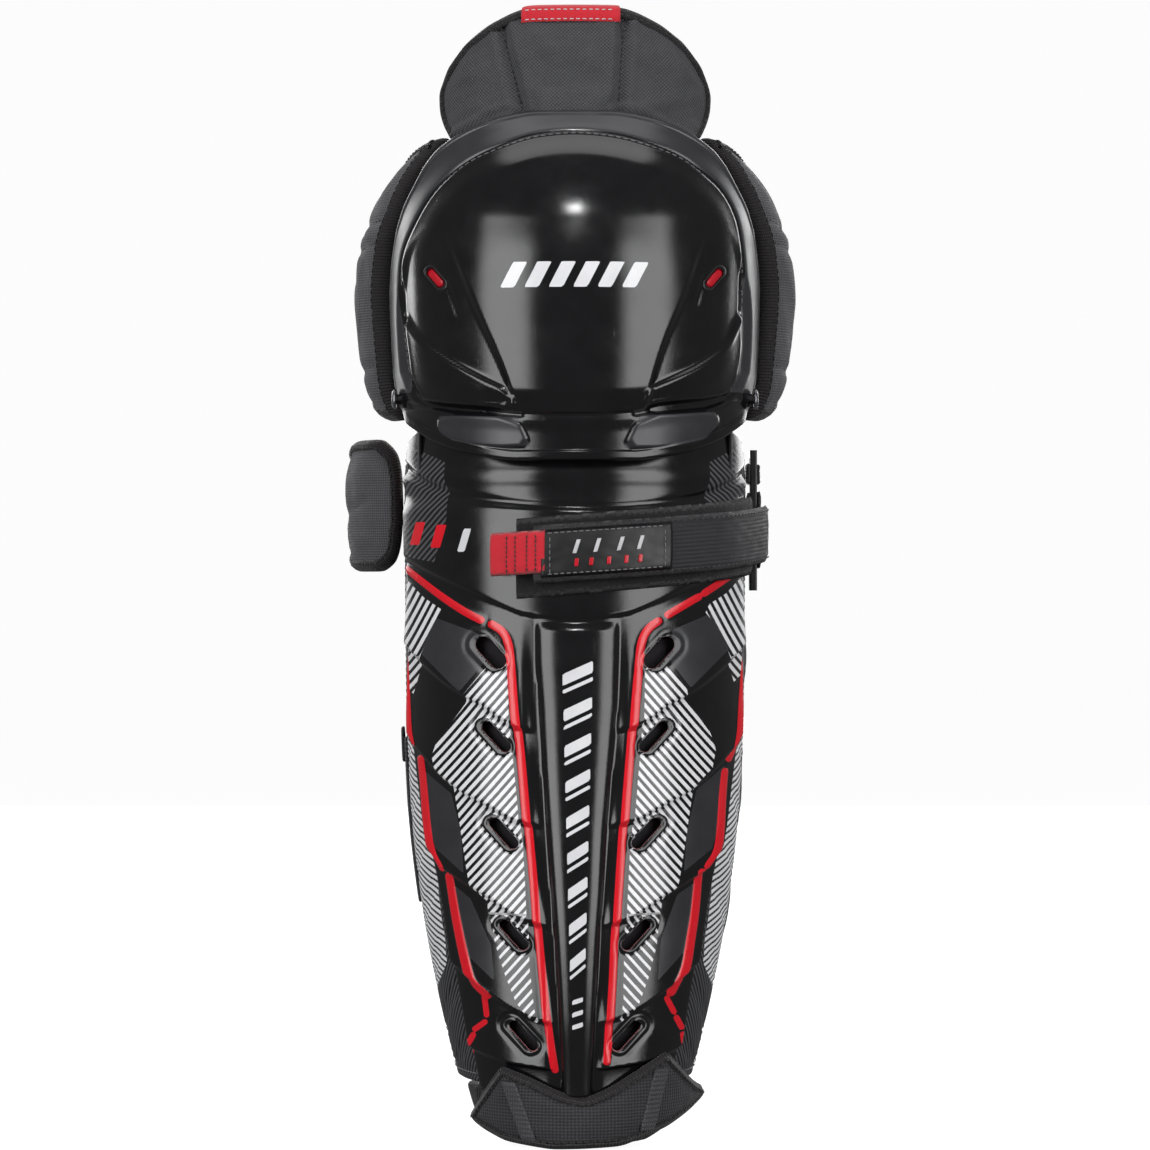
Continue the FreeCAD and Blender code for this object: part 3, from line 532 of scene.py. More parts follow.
class Shader:
    """A material's node tree, with short ways to add to it. Lengths in it are mm."""

    def __init__(self, name, roughness=0.6, **sockets):
        self.material = bpy.data.materials.new(name)
        self.material.use_nodes = True
        self.tree = self.material.node_tree
        self.skin = self.tree.nodes["Principled BSDF"]
        self.skin.inputs["Roughness"].default_value = roughness
        for key, value in sockets.items():
            self.skin.inputs[key.replace("_", " ")].default_value = value

    def node(self, kind, **settings):
        item = self.tree.nodes.new("ShaderNode" + kind)
        for key, value in settings.items():
            setattr(item, key, value)
        return item

    def feed(self, socket, value):
        if isinstance(value, bpy.types.NodeSocket):
            self.tree.links.new(value, socket)
        else:
            socket.default_value = value

    def math(self, operation, *values, clamp=False):
        item = self.node("Math", operation=operation, use_clamp=clamp)
        for socket, value in zip(item.inputs, values):
            self.feed(socket, value)
        return item.outputs[0]

    def field(self, name):
        return self.node("Attribute", attribute_name=name).outputs["Fac"]

    def flat(self):
        """Place on the laid-out piece: along it, across it, and in from the edge."""
        return self.node("Attribute", attribute_name="flat").outputs["Vector"]

    def solid(self):
        """Place in the object, in mm."""
        scale = self.node("VectorMath", operation="SCALE")
        self.feed(scale.inputs[0], self.node("TexCoord").outputs["Object"])
        scale.inputs["Scale"].default_value = 1000
        return scale.outputs[0]

    def split(self, vector):
        item = self.node("SeparateXYZ")
        self.feed(item.inputs[0], vector)
        return item.outputs

    def stretch(self, vector, x, y, z=1.0):
        item = self.node("VectorMath", operation="MULTIPLY")
        self.feed(item.inputs[0], vector)
        item.inputs[1].default_value = (x, y, z)
        return item.outputs[0]

    def turn(self, vector, degrees):
        item = self.node("VectorRotate", rotation_type="Z_AXIS")
        self.feed(item.inputs["Vector"], vector)
        item.inputs["Angle"].default_value = math.radians(degrees)
        return item.outputs[0]

    def noise(self, vector, size, detail=3.0, rough=0.55):
        """Noise from 0 to 1 with features about size mm across."""
        item = self.node("TexNoise")
        self.feed(item.inputs["Vector"], vector)
        item.inputs["Scale"].default_value = 1 / size
        item.inputs["Detail"].default_value = detail
        item.inputs["Roughness"].default_value = rough
        return item.outputs[0]

    def cells(self, vector, size, irregular=1.0):
        item = self.node("TexVoronoi", feature="F1")
        self.feed(item.inputs["Vector"], vector)
        item.inputs["Scale"].default_value = 1 / size
        item.inputs["Randomness"].default_value = irregular
        return item.outputs["Distance"]

    def wave(self, value, pitch):
        """A sine from -1 to 1 that repeats each pitch."""
        return self.math("SINE", self.math("MULTIPLY_ADD", value, 2 * math.pi / pitch, 0.0))

    def above(self, value, edge, soft=0.08):
        """1 where a value is over an edge, 0 below, with a narrow ramp."""
        item = self.node("MapRange", clamp=True)
        self.feed(item.inputs["Value"], value)
        item.inputs["From Min"].default_value = edge - soft
        item.inputs["From Max"].default_value = edge + soft
        return item.outputs[0]

    def range(self, value, low, high, to_low, to_high):
        item = self.node("MapRange", clamp=True)
        self.feed(item.inputs["Value"], value)
        for key, number in (("From Min", low), ("From Max", high), ("To Min", to_low), ("To Max", to_high)):
            item.inputs[key].default_value = number
        return item.outputs[0]

    def mix(self, amount, first, second):
        item = self.node("Mix", data_type="RGBA")
        self.feed(item.inputs[0], amount)
        self.feed(item.inputs[6], first)
        self.feed(item.inputs[7], second)
        return item.outputs[2]

    def total(self, *values):
        result = values[0]
        for value in values[1:]:
            result = self.math("ADD", result, value)
        return result

    def scaled(self, value, by):
        return self.math("MULTIPLY", value, by)

    def finish(self, colour, height, roughness):
        """Feeds the skin its colour and roughness, and a bump map of a height in mm."""
        self.feed(self.skin.inputs["Base Color"], colour)
        self.feed(self.skin.inputs["Roughness"], roughness)
        bump_node = self.node("Bump")
        bump_node.inputs["Strength"].default_value = 1.0
        bump_node.inputs["Distance"].default_value = MM
        self.feed(bump_node.inputs["Height"], height)
        self.feed(self.skin.inputs["Normal"], bump_node.outputs[0])
        return self.material


# ---------------------------------------------------------------- materials

WHITE = rgb(228, 228, 231)


def moulded_plastic(name, roughness=0.34, shine=0.5):
    """Moulded shell with printed graphics. A field is how far inside its colour's shape a point is, in mm."""
    m = Shader(name, roughness, Specular_IOR_Level=shine)
    place = m.solid()
    cloudy = m.noise(place, 14, 3)
    colour = m.mix(m.range(cloudy, 0.3, 0.7, 0, 1), rgb(13, 13, 15), rgb(18, 18, 20))
    colour = m.mix(m.above(m.field("charcoal"), 0), colour, m.mix(cloudy, rgb(40, 40, 43), rgb(52, 52, 56)))
    fine = m.above(m.wave(m.field("fine_phase"), 1.0), 0.1, 0.35)
    colour = m.mix(m.math("MULTIPLY", m.above(m.field("fine"), 0), fine), colour, rgb(82, 82, 86))
    thick = m.math("SUBTRACT", m.wave(m.field("phase"), 1.0), m.field("thin"))
    stripe = m.above(thick, 0, 0.16)
    colour = m.mix(m.math("MULTIPLY", m.above(m.field("white"), 0), stripe), colour, WHITE)
    colour = m.mix(m.above(m.field("silver"), 0), colour,
                   m.mix(cloudy, rgb(205, 205, 209), rgb(232, 232, 235)))
    red = m.above(m.field("red"), 0)
    colour = m.mix(red, colour, m.mix(cloudy, rgb(206, 14, 30), rgb(226, 22, 40)))
    scratch_a = m.noise(m.stretch(m.turn(place, 20), 0.12, 1.0, 0.12), 0.9, 2)
    scratch_b = m.noise(m.stretch(place, 1.0, 1.0, 0.06), 0.7, 2)
    scratches = m.math("MULTIPLY", m.range(scratch_a, 0.62, 0.72, 0, 1), m.range(scratch_b, 0.5, 0.7, 0, 1))
    grain = m.noise(place, 0.45, 2)
    height = m.total(m.scaled(grain, 0.03), m.scaled(scratches, -0.02), m.scaled(cloudy, 0.05))
    satin = m.scaled(m.above(m.field("charcoal"), 0), 0.16)
    gloss = m.total(m.range(cloudy, 0.3, 0.7, roughness - 0.03, roughness + 0.04), m.scaled(scratches, 0.1),
                    satin, m.scaled(red, 0.08))
    return m.finish(colour, height, gloss)


def woven(name, dark, light, pitch=0.9, relief=0.11, sheen=0.25, slant=0.0):
    """A close plain weave."""
    m = Shader(name, 0.78, Sheen_Weight=sheen, Sheen_Roughness=0.5, Specular_IOR_Level=0.3)
    flat = m.flat()
    wobble = m.noise(flat, 3.0, 2)
    x, y, _ = m.split(m.turn(flat, slant) if slant else flat)
    threads = m.math("MULTIPLY", m.wave(m.total(x, m.scaled(wobble, 0.3)), pitch), m.wave(y, pitch))
    patchy = m.noise(flat, 11, 4)
    shade = m.total(m.scaled(m.math("MULTIPLY_ADD", threads, 0.5, 0.5), 0.7), m.scaled(patchy, 0.3))
    colour = m.mix(shade, dark, light)
    fuzz = m.noise(flat, 0.35, 2)
    height = m.total(m.scaled(threads, relief), m.scaled(fuzz, 0.05), m.scaled(patchy, 0.25))
    return m.finish(colour, height, m.range(patchy, 0.3, 0.7, 0.72, 0.84))


def air_mesh(name, thread, behind, pitch=1.7, relief=0.3, sheen=0.2):
    """Spacer mesh: rows of small round holes in a knitted face. The holes take the near-black colour behind:
    the dark back layer, with painted shade in the holes.
    """
    m = Shader(name, 0.82, Sheen_Weight=sheen, Sheen_Roughness=0.5, Specular_IOR_Level=0.25)
    flat = m.flat()
    holes = m.cells(m.turn(m.stretch(flat, 1, 1, 0), 45), pitch * 0.78, irregular=0.12)
    shaded_holes = m.range(holes, 0.2, 0.36, 1, 0)
    patchy = m.noise(flat, 12, 3)
    knit = m.noise(flat, 0.4, 2)
    # painted shade: the holes are coloured far darker than the thread, for the dark back layer and the shade
    # inside them
    colour = m.mix(shaded_holes, m.mix(patchy, thread, m.mix(0.35, thread, rgb(120, 120, 124))), behind)
    height = m.total(m.scaled(shaded_holes, -relief), m.scaled(knit, 0.08), m.scaled(patchy, 0.3))
    return m.finish(colour, height, m.range(knit, 0.3, 0.7, 0.75, 0.9))


def ribbed_tape(name, dark, light, pitch=1.25, sheen=0.35):
    """Edge tape: fine ribs across it, with a line of machine stitches near its inner edge."""
    m = Shader(name, 0.72, Sheen_Weight=sheen, Sheen_Roughness=0.4, Specular_IOR_Level=0.35)
    flat = m.flat()
    run, around, _ = m.split(flat)
    ribs = m.wave(run, pitch)
    rows = m.wave(around, 0.9)
    patchy = m.noise(m.stretch(flat, 0.6, 1, 1), 7, 3)
    shade = m.total(m.scaled(m.math("MULTIPLY_ADD", ribs, 0.5, 0.5), 0.5), m.scaled(patchy, 0.5))
    height = m.total(m.scaled(ribs, 0.14), m.scaled(rows, 0.05), m.scaled(patchy, 0.3))
    return m.finish(m.mix(shade, dark, light), height, m.range(patchy, 0.3, 0.7, 0.62, 0.8))


def webbing(name, dark, light, pitch=1.9, sheen=0.3):
    """Strap webbing: lengthways cords crossed by picks."""
    m = Shader(name, 0.62, Sheen_Weight=sheen, Sheen_Roughness=0.4, Specular_IOR_Level=0.4)
    flat = m.flat()
    run, across, _ = m.split(flat)
    cords = m.wave(across, pitch)
    picks = m.wave(m.total(run, m.scaled(cords, 0.35)), pitch * 0.55)
    patchy = m.noise(flat, 9, 3)
    shade = m.total(m.scaled(m.math("MULTIPLY_ADD", m.math("MULTIPLY", cords, picks), 0.5, 0.5), 0.6),
                    m.scaled(patchy, 0.4))
    height = m.total(m.scaled(cords, 0.14), m.scaled(picks, 0.1), m.scaled(patchy, 0.15))
    return m.finish(m.mix(shade, dark, light), height, m.range(patchy, 0.3, 0.7, 0.52, 0.72))


def loop_pile(name, dark, light):
    """The fuzzy side of touch tape."""
    m = Shader(name, 0.95, Sheen_Weight=0.2, Sheen_Roughness=0.6, Specular_IOR_Level=0.15)
    flat = m.flat()
    curls = m.noise(flat, 0.9, 4, 0.7)
    tufts = m.cells(flat, 1.1)
    colour = m.mix(m.range(curls, 0.35, 0.68, 0, 1), dark, light)
    return m.finish(colour, m.total(m.scaled(curls, 0.5), m.scaled(tufts, -0.2)),
                    m.range(curls, 0.3, 0.7, 0.85, 1))


def hook_tape(name, dark, light):
    """The stiff side of touch tape: close rows of short hooks."""
    m = Shader(name, 0.55, Specular_IOR_Level=0.4)
    flat = m.flat()
    pegs = m.cells(m.stretch(flat, 1, 1, 0), 1.15, irregular=0.1)
    hooks = m.range(pegs, 0.15, 0.45, 1, 0)
    patchy = m.noise(flat, 6, 3)
    return m.finish(m.mix(m.total(m.scaled(hooks, 0.6), m.scaled(patchy, 0.4)), dark, light),
                    m.total(m.scaled(hooks, 0.35), m.scaled(patchy, 0.1)),
                    m.range(patchy, 0.3, 0.7, 0.45, 0.65))


def foam_skin(name, dark, light):
    m = Shader(name, 0.9, Specular_IOR_Level=0.2)
    place = m.solid()
    pores = m.cells(place, 0.9)
    patchy = m.noise(place, 15, 3)
    colour = m.mix(m.total(m.scaled(pores, 0.4), m.scaled(patchy, 0.6)), dark, light)
    return m.finish(colour, m.total(m.scaled(pores, 0.22), m.scaled(patchy, 0.4)),
                    m.range(pores, 0, 0.6, 0.8, 0.95))


def triangle_emboss(name, dark, light):
    """Stretch lining pressed with a grid of small triangles."""
    m = Shader(name, 0.6, Sheen_Weight=0.25, Sheen_Roughness=0.45, Specular_IOR_Level=0.4)
    flat = m.flat()
    wander = m.scaled(m.noise(flat, 20, 2), 1.2)
    ridges = None
    for degrees in (0, 60, 120):
        _, across, _ = m.split(m.turn(flat, degrees))
        line = m.math("ABSOLUTE", m.wave(m.total(across, wander), 7.6))
        ridges = line if ridges is None else m.math("MINIMUM", ridges, line)
    pressed = m.range(ridges, 0.05, 0.42, 0, 1)
    patchy = m.noise(flat, 16, 4)
    knit = m.noise(m.stretch(flat, 1, 2.2, 1), 0.55, 2)
    colour = m.mix(m.total(m.scaled(pressed, 0.45), m.scaled(patchy, 0.4), m.scaled(knit, 0.15)), dark, light)
    height = m.total(m.scaled(pressed, 0.2), m.scaled(knit, 0.05), m.scaled(patchy, 0.5))
    return m.finish(colour, height, m.range(patchy, 0.3, 0.7, 0.5, 0.68))


def metal(name, colour):
    m = Shader(name, 0.3, Metallic=1.0)
    place = m.solid()
    brushed = m.noise(m.stretch(place, 1, 0.15, 1), 0.6, 3)
    worn = m.noise(place, 4, 3)
    return m.finish(m.mix(worn, colour, rgb(150, 150, 154)),
                    m.total(m.scaled(brushed, 0.02), m.scaled(worn, 0.05)),
                    m.range(worn, 0.3, 0.7, 0.24, 0.46))


def plain_plastic(name, dark, light, roughness=0.38):
    m = Shader(name, roughness, Specular_IOR_Level=0.5)
    place = m.solid()
    cloudy = m.noise(place, 8, 3)
    grain = m.noise(place, 0.4, 2)
    return m.finish(m.mix(cloudy, dark, light), m.total(m.scaled(grain, 0.03), m.scaled(cloudy, 0.06)),
                    m.range(cloudy, 0.3, 0.7, roughness - 0.06, roughness + 0.08))


def thread(name, dark, light):
    m = Shader(name, 0.65, Sheen_Weight=0.3, Specular_IOR_Level=0.35)
    place = m.solid()
    ply = m.noise(m.stretch(place, 3, 3, 3), 0.5, 2)
    return m.finish(m.mix(ply, dark, light), m.scaled(ply, 0.06), m.range(ply, 0.3, 0.7, 0.55, 0.75))


SHELL = moulded_plastic("shell_plastic", 0.15)
SIDE_SHELL = moulded_plastic("side_shell_plastic", 0.68, 0.25)
WOVEN_BLACK = woven("woven_charcoal", rgb(16, 16, 17), rgb(86, 86, 90), pitch=1.7, relief=0.16, sheen=0.12)
WING_WEAVE = woven("woven_wing", rgb(24, 24, 26), rgb(98, 98, 103), pitch=1.8, relief=0.16, sheen=0.12,
                   slant=45)
ANKLE_WEAVE = woven("woven_ankle", rgb(12, 12, 13), rgb(70, 70, 74), pitch=2.2, relief=0.2, sheen=0.12,
                    slant=45)
# The second colour of each air mesh is its holes' colour: the dark back layer with painted shade, near-black.
MESH = air_mesh("air_mesh_black", rgb(30, 30, 32), rgb(5, 5, 6), pitch=2.0, sheen=0.1)
FINE_MESH = air_mesh("fine_mesh_black", rgb(26, 26, 28), rgb(6, 6, 7), pitch=1.6, relief=0.25, sheen=0.1)
EDGE_TAPE = ribbed_tape("edge_tape_black", rgb(13, 12, 13), rgb(38, 34, 37), pitch=1.5, sheen=0.15)
FOAM = foam_skin("foam_charcoal", rgb(24, 24, 26), rgb(46, 46, 49))
STRAP = webbing("webbing_black", rgb(13, 13, 14), rgb(58, 58, 62), sheen=0.12)
STRAP_GREY = webbing("webbing_grey", rgb(30, 30, 33), rgb(84, 84, 88), pitch=2.2, sheen=0.2)
LOOP = loop_pile("touch_loop_black", rgb(4, 4, 5), rgb(26, 24, 27))
HOOK = hook_tape("touch_hook_black", rgb(12, 12, 13), rgb(44, 44, 47))
LINING_RED = triangle_emboss("liner_red_emboss", rgb(150, 8, 24), rgb(206, 18, 40))
RED_CLOTH = woven("red_tape_cloth", rgb(160, 10, 26), rgb(222, 34, 52), pitch=0.9, relief=0.09, sheen=0.35)
RED_PLASTIC = plain_plastic("red_insert_plastic", rgb(170, 6, 26), rgb(200, 14, 36), 0.34)
BLACK_PLASTIC = plain_plastic("black_trim_plastic", rgb(16, 16, 17), rgb(26, 26, 28), 0.4)
LABEL = plain_plastic("label_rubber_black", rgb(5, 5, 6), rgb(13, 13, 14), 0.5)
WHITE_PRINT = plain_plastic("print_silver", rgb(168, 168, 172), rgb(206, 206, 209), 0.45)
STEEL = metal("dark_steel", rgb(70, 70, 74))
THREAD = thread("thread_charcoal", rgb(30, 30, 32), rgb(78, 78, 82))
LIGHT_THREAD = thread("thread_white", rgb(170, 170, 172), rgb(218, 218, 220))
GREY_THREAD = thread("thread_grey", rgb(90, 90, 93), rgb(130, 130, 134))
BLACK_THREAD = thread("thread_black", rgb(8, 8, 9), rgb(26, 26, 28))


# ---------------------------------------------------------------- outlines, the same as the CAD's

KNEE_CAP_EDGE = [(30, -84), (43, -82), (58, -78.5), (71, -73), (82.5, -65), (87.5, -54), (89.5, -40),
                 (90.5, -20), (91, 0), (90, 15), (88, 30), (84, 42), (78.5, 52), (74, 60), (68.5, 67),
                 (60, 73), (50, 78), (37.5, 82), (22, 85)]
THIGH_EDGE = [(60, 70), (64, 78), (66.5, 86), (67, 97), (62, 110), (54, 120), (43, 128), (32, 133),
              (24, 135.5)]


def both_halves(edge):
    return edge + mirror(edge)[::-1]


def symmetric(rows):
    return [(z, -a, a) for z, a in rows]


def other_side(outline):
    return [(z, -last, -first) for z, first, last in outline]


def wrap_outline(rows):
    return [(z, 101, 90 + back / BACK_MM_PER_DEGREE) for z, back in rows]


SHIN_CAP = symmetric([(-66, 60), (-73, 74), (-100, 72), (-200, 70), (-250, 62), (-300, 54), (-350, 51),
                      (-387, 49)])
SIDE_PANEL = [(-77, 76, 96), (-100, 66, 96), (-200, 64, 96), (-250, 56, 96), (-300, 48, 96), (-350, 45, 96),
              (-384, 44, 92)]
SHIN_LAYER = symmetric([(-92, 80), (-120, 86), (-200, 87), (-300, 87), (-350, 84), (-384, 76)])
BASE = symmetric([(-412, 46), (-407, 66), (-398, 76), (-386, 80)])
LINER_SHIN = symmetric([(-402, 24), (-397, 44), (-386, 62), (-370, 76), (-345, 83), (-300, 86), (-260, 84),
                        (-220, 76), (-190, 65), (-160, 53), (-135, 43), (-112, 38), (-92, 42), (-81, 46)])
LINER_KNEE = symmetric([(-79, 46.5), (-65, 53), (-50, 60), (-30, 66), (-10, 68), (10, 67), (30, 62), (45, 56),
                        (57, 45), (64, 30), (68, 15)])
LINER_COVER = [(-390.5, -42, 42), (-386, -50, 50), (-376, -64, 60), (-368, -69.5, 46), (-360, -72, 37),
               (-346, -75.5, 27), (-321, -78.5, 22.5), (-297, -79.5, 23.5), (-260, -78, 26), (-248, -75, 27),
               (-200, -62.5, 31), (-160, -47, 33.5), (-125, -34.5, 30.5), (-112, -32.5, 32.5), (-92, -36, 36),
               (-82, -39, 39)]
LINER_PANEL = [(-368, 48, 67), (-360, 39, 71), (-346, 28.5, 75), (-321, 24, 78), (-297, 25, 79),
               (-260, 27.5, 78), (-248, 28.5, 75), (-220, 31, 69), (-200, 33, 62.5), (-160, 35.5, 46),
               (-140, 34.5, 38.8), (-130, 33, 36.2)]
KNEE_WING_PAD = [(77, 66, 82), (70, 65, 98), (52, 64, 111), (27, 64, 119), (0, 64, 124), (-24, 64, 122),
                 (-44, 65, 112), (-56, 66, 98), (-61.5, 67, 84)]
CALF_WING_PAD = [(-136, -78, -34), (-131, -100, -20), (-120, -122, -14), (-104, -134, -12), (-90, -130, -13),
                 (-78, -108, -18), (-70.5, -78, -34)]
MEDIAL_WRAP = wrap_outline([(-97, 28), (-106, 38), (-122, 48), (-160, 61), (-210, 66), (-260, 64), (-300, 56),
                            (-330, 42), (-344, 29)])
LATERAL_WRAP = other_side(wrap_outline([(-97, 30), (-106, 42), (-122, 54), (-160, 66), (-210, 70), (-260, 68),
                                        (-310, 58), (-345, 41), (-358, 29)]))

# ---------------------------------------------------------------- the shin cap's moulded shape and graphics

COLLAR_LINE = [(0, -158.5), (15, -157), (25, -155), (40, -148.5), (50, -143.5), (60, -139), (70, -134),
               (78, -129), (86, -124)]
SCALE_LINES = [COLLAR_LINE,
               [(0, -217), (28, -211), (35, -206.5), (42, -201), (50, -197), (60, -190.5), (70, -182),
                (80, -171), (88, -160)],
               [(0, -262), (28, -255.5), (42, -247.7), (52, -242.5), (60, -236.5), (67, -229.5),
                (74, -221.5), (80, -210)],
               [(0, -310), (25, -302.5), (40, -292.5), (50, -286.5), (60, -280.5), (67, -271), (76, -256)],
               [(0, -356), (20, -350), (30, -345), (40, -338.5), (50, -331), (60, -322.5), (70, -311)],
               [(0, -376), (30, -372.5), (45, -368), (55, -361), (64, -352)],
               [(0, -398), (30, -398), (64, -396), (80, -396)]]
RIDGE = [(-400, -5.5, 7), (-370, -6, 8), (-330, -8, 10), (-310, -9.2, 11), (-290, -10.6, 12.5),
         (-260, -12.6, 14), (-230, -14.6, 16.5), (-200, -16, 19), (-180, -17.5, 19.5), (-156, -18, 20)]
RED_INNER_LEFT = [[(-79, -135), (-70, -142), (-60, -149.5), (-50, -156), (-43, -159.5)],
                  [(-38, -161.5), (-33, -164.5), (-30.2, -170), (-29, -180), (-27.5, -200), (-25, -220),
                   (-22, -250), (-20, -270), (-18, -290), (-16.5, -310), (-14.5, -330), (-12.5, -350),
                   (-10.5, -365), (-9, -374)]]
RED_INNER_RIGHT = [[(79, -133.5), (70, -140), (60, -146.5), (59.6, -146.8)],
                   [(57, -148.5), (50, -152.5), (42.5, -157)],
                   [(38, -160), (33, -163.5), (30, -170), (29, -180), (27, -200), (24.5, -230), (22.5, -250),
                    (21, -270), (19.5, -290), (18, -310), (17, -330), (15.5, -350), (14.5, -365), (14, -370)]]
RED_OUTER_LEFT = [[(-80, -172), (-77.5, -200), (-76, -215), (-74.5, -220)],
                  [(-71.8, -227), (-70, -240), (-67.5, -260), (-65, -272), (-61, -279)],
                  [(-58, -283), (-55, -300), (-51.5, -315), (-48, -328), (-46, -334), (-40, -339)]]
RED_OUTER_RIGHT = [[(80, -174), (77, -200), (75.5, -215), (73.5, -223), (71.5, -227)],
                   [(69.5, -233), (68, -245), (66.5, -260), (64.5, -272), (60, -278)],
                   [(57, -281), (55, -300), (52, -315), (49.5, -328), (44, -338)]]
RED_DASHES = [[(-41.5, -340), (-40.2, -349)], [(-40.8, -352.5), (-45, -356.5)],
              [(-45.6, -359.5), (-47.5, -364)], [(-47.7, -367.5), (-47.8, -372.5)],
              [(-48, -376.5), (-48, -381)], [(42, -341), (45, -348)], [(46, -351), (48, -356)],
              [(48.3, -359.5), (48.5, -363.5)], [(48.6, -367), (48.5, -371)], [(48.4, -374.5), (48.2, -378)]]
STRIPES_LEFT = [(-30, -178), (-39, -180), (-50, -195), (-50, -199), (-63, -218), (-65, -225), (-63, -234),
                (-56, -240), (-52, -262), (-49, -278), (-47, -288), (-40, -294), (-40, -297), (-36, -315),
                (-31, -330), (-26, -342), (-20, -350), (-15, -353), (-18, -345), (-20.5, -325), (-21.5, -300),
                (-23.5, -270), (-26, -245), (-29.5, -215)]
STRIPES_RIGHT = [(32, -176), (40, -179), (50, -192), (51, -197), (62, -214), (64, -222), (62, -231),
                 (55, -238), (51, -262), (48, -278), (46, -287), (40, -293), (39.5, -297), (37, -315),
                 (33, -330), (28.5, -342), (24, -349), (20, -352), (21.5, -340), (22, -325), (23, -300),
                 (25, -270), (27.5, -245), (30.5, -215)]
UPPER_STRIPES_LEFT = [(-79, -140), (-70, -149), (-61, -155), (-66, -166), (-70, -176), (-75, -196),
                      (-80, -190)]
UPPER_STRIPES_RIGHT = [(60, -156), (62, -152), (70, -147), (80, -137), (80, -165), (78, -186), (74, -190),
                       (70, -176), (66, -164)]
GREY_SCALES = [
    [(-57, -243), (-66, -236), (-71, -232), (-68, -255), (-63, -270), (-50, -281), (-52, -262)],
    [(56, -241), (65, -234), (69.5, -230), (67, -255), (62, -270), (49, -280), (51, -262)],
    [(-48, -293), (-56, -287), (-53, -302), (-49, -320), (-36, -332), (-38, -315)],
    [(47, -291), (55, -286), (53, -302), (50, -318), (37, -332), (39, -312)],
    [(-66, -158), (-44, -166), (-40, -178), (-52, -194), (-70, -176)],
    [(66, -155), (45, -164), (41, -176), (52, -192), (70, -174)],
]
FRONT_SLOTS = [(-175, 40, 8.0), (-215, 37.4, 5.6), (-261, 33.8, 5.6), (-309.5, 29, 5.4), (-358, 24.5, 5.2)]
SLOT_LEAN = 43
NECK_GROOVE = [(-82, -84), (-75, -91), (-65, -97), (-50, -101), (-30, -104), (0, -106), (30, -105),
               (60, -101), (76, -93), (84, -84)]


def table_line(points, x):
    p = np.array(points, float)
    return np.interp(np.abs(x), p[:, 0], p[:, 1])


def lines_inside(x, z, lines, half):
    """How far inside a set of drawn lines of a half width points are."""
    best = np.full(np.shape(x), -1e3)
    for line in lines:
        distance, _ = line_distance(x, z, curve(line, 1.5, rounds=2))
        best = np.maximum(best, half - distance)
    return best


def tapered_lines(x, z, lines, widths):
    """As lines_inside, with the half width changing with height: (z, half)."""
    t = np.array(sorted(widths), float)
    half = np.interp(z, t[:, 0], t[:, 1])
    return lines_inside(x, z, lines, 0.0) + half


def shapes_inside(x, z, shapes):
    best = np.full(np.shape(x), -1e3)
    for shape in shapes:
        best = np.maximum(best, inside_of(x, z, shape))
    return best


def slot_inside(x, z, centre_x, centre_z, length, width, lean):
    """How far inside a round-ended slot points are. Its upper end leans outward."""
    side = math.copysign(1, centre_x)
    turn = math.radians(lean) * side
    dx, dz = x - centre_x, z - centre_z
    along = dx * math.sin(turn) + dz * math.cos(turn)
    across = dx * math.cos(turn) - dz * math.sin(turn)
    reach = (length - width) / 2
    return width / 2 - np.hypot(across, np.maximum(np.abs(along) - reach, 0))


def ridge_place(x, z):
    t = np.array(RIDGE, float)
    left, right = np.interp(z, t[:, 0], t[:, 1]), np.interp(z, t[:, 0], t[:, 2])
    return (x - (left + right) / 2) / ((right - left) / 2), (right - left) / 2


def scale_height(x, z):
    """Overlapping scales: each swells towards its lower edge and then drops to the next."""
    height = np.zeros(np.shape(x))
    for upper, lower in zip(SCALE_LINES, SCALE_LINES[1:]):
        top, bottom = table_line(upper, x), table_line(lower, x)
        part = np.clip((top - z) / np.maximum(top - bottom, 1), 0, 1)
        here = (z <= top) & (z > bottom)
        height = np.where(here, 2.5 * part**1.6 * ramp(z - bottom, 0, 1.5), height)
    return height


def shin_relief(spot):
    x, z = spot["x"], spot["z"]
    across, half = ridge_place(x, z)
    below_collar = ramp(table_line(COLLAR_LINE, x) - z, 0.2, 2.2)
    ridge = 4.2 * np.sqrt(np.clip(1 - np.abs(across) ** 2.4, 0, 1)) * ramp(-z, 157, 166)
    height = ridge * below_collar
    clear_of_ridge = ramp(np.abs(x) - half, 1.5, 6)
    height = height + scale_height(x, z) * clear_of_ridge
    height = height + 1.7 * (1 - below_collar) * ramp(-z, 100, 108)
    groove, _ = line_distance(x, z, curve(NECK_GROOVE, 2))
    height = height - 1.5 * bump(groove, 1.9) + 1.5 * bump(z + 91, 5.0) * ramp(groove, 1, 4)
    red = np.maximum(spot["inner"], spot["outer"])
    height = height + 0.55 * ramp(red, -0.5, 0.9)
    for slot_z, slot_x, width in FRONT_SLOTS:
        for side in (-1, 1):
            rim = slot_inside(x, z, side * slot_x, slot_z, 18.5, width, SLOT_LEAN)
            height = height - 1.1 * bump(rim + 2.2, 1.2) * 0.5 + 0.9 * bump(rim + 0.6, 1.1)
    return height


def shin_graphics(x, z):
    inner = tapered_lines(x, z, RED_INNER_LEFT + RED_INNER_RIGHT,
                          [(-130, 1.5), (-165, 1.9), (-200, 2.0), (-374, 1.7)])
    outer = tapered_lines(x, z, RED_OUTER_LEFT + RED_OUTER_RIGHT, [(-170, 1.3), (-240, 1.7), (-340, 2.2)])
    dashes = lines_inside(x, z, RED_DASHES, 1.3)
    return inner, outer, np.maximum(np.maximum(inner, outer), dashes)


def slant_bar(x, z, wide, tall):
    """A bar that leans to the right."""
    lean = 0.28 * tall
    return [(x - wide / 2 - lean / 2, z - tall / 2), (x + wide / 2 - lean / 2, z - tall / 2),
            (x + wide / 2 + lean / 2, z + tall / 2), (x - wide / 2 + lean / 2, z + tall / 2)]


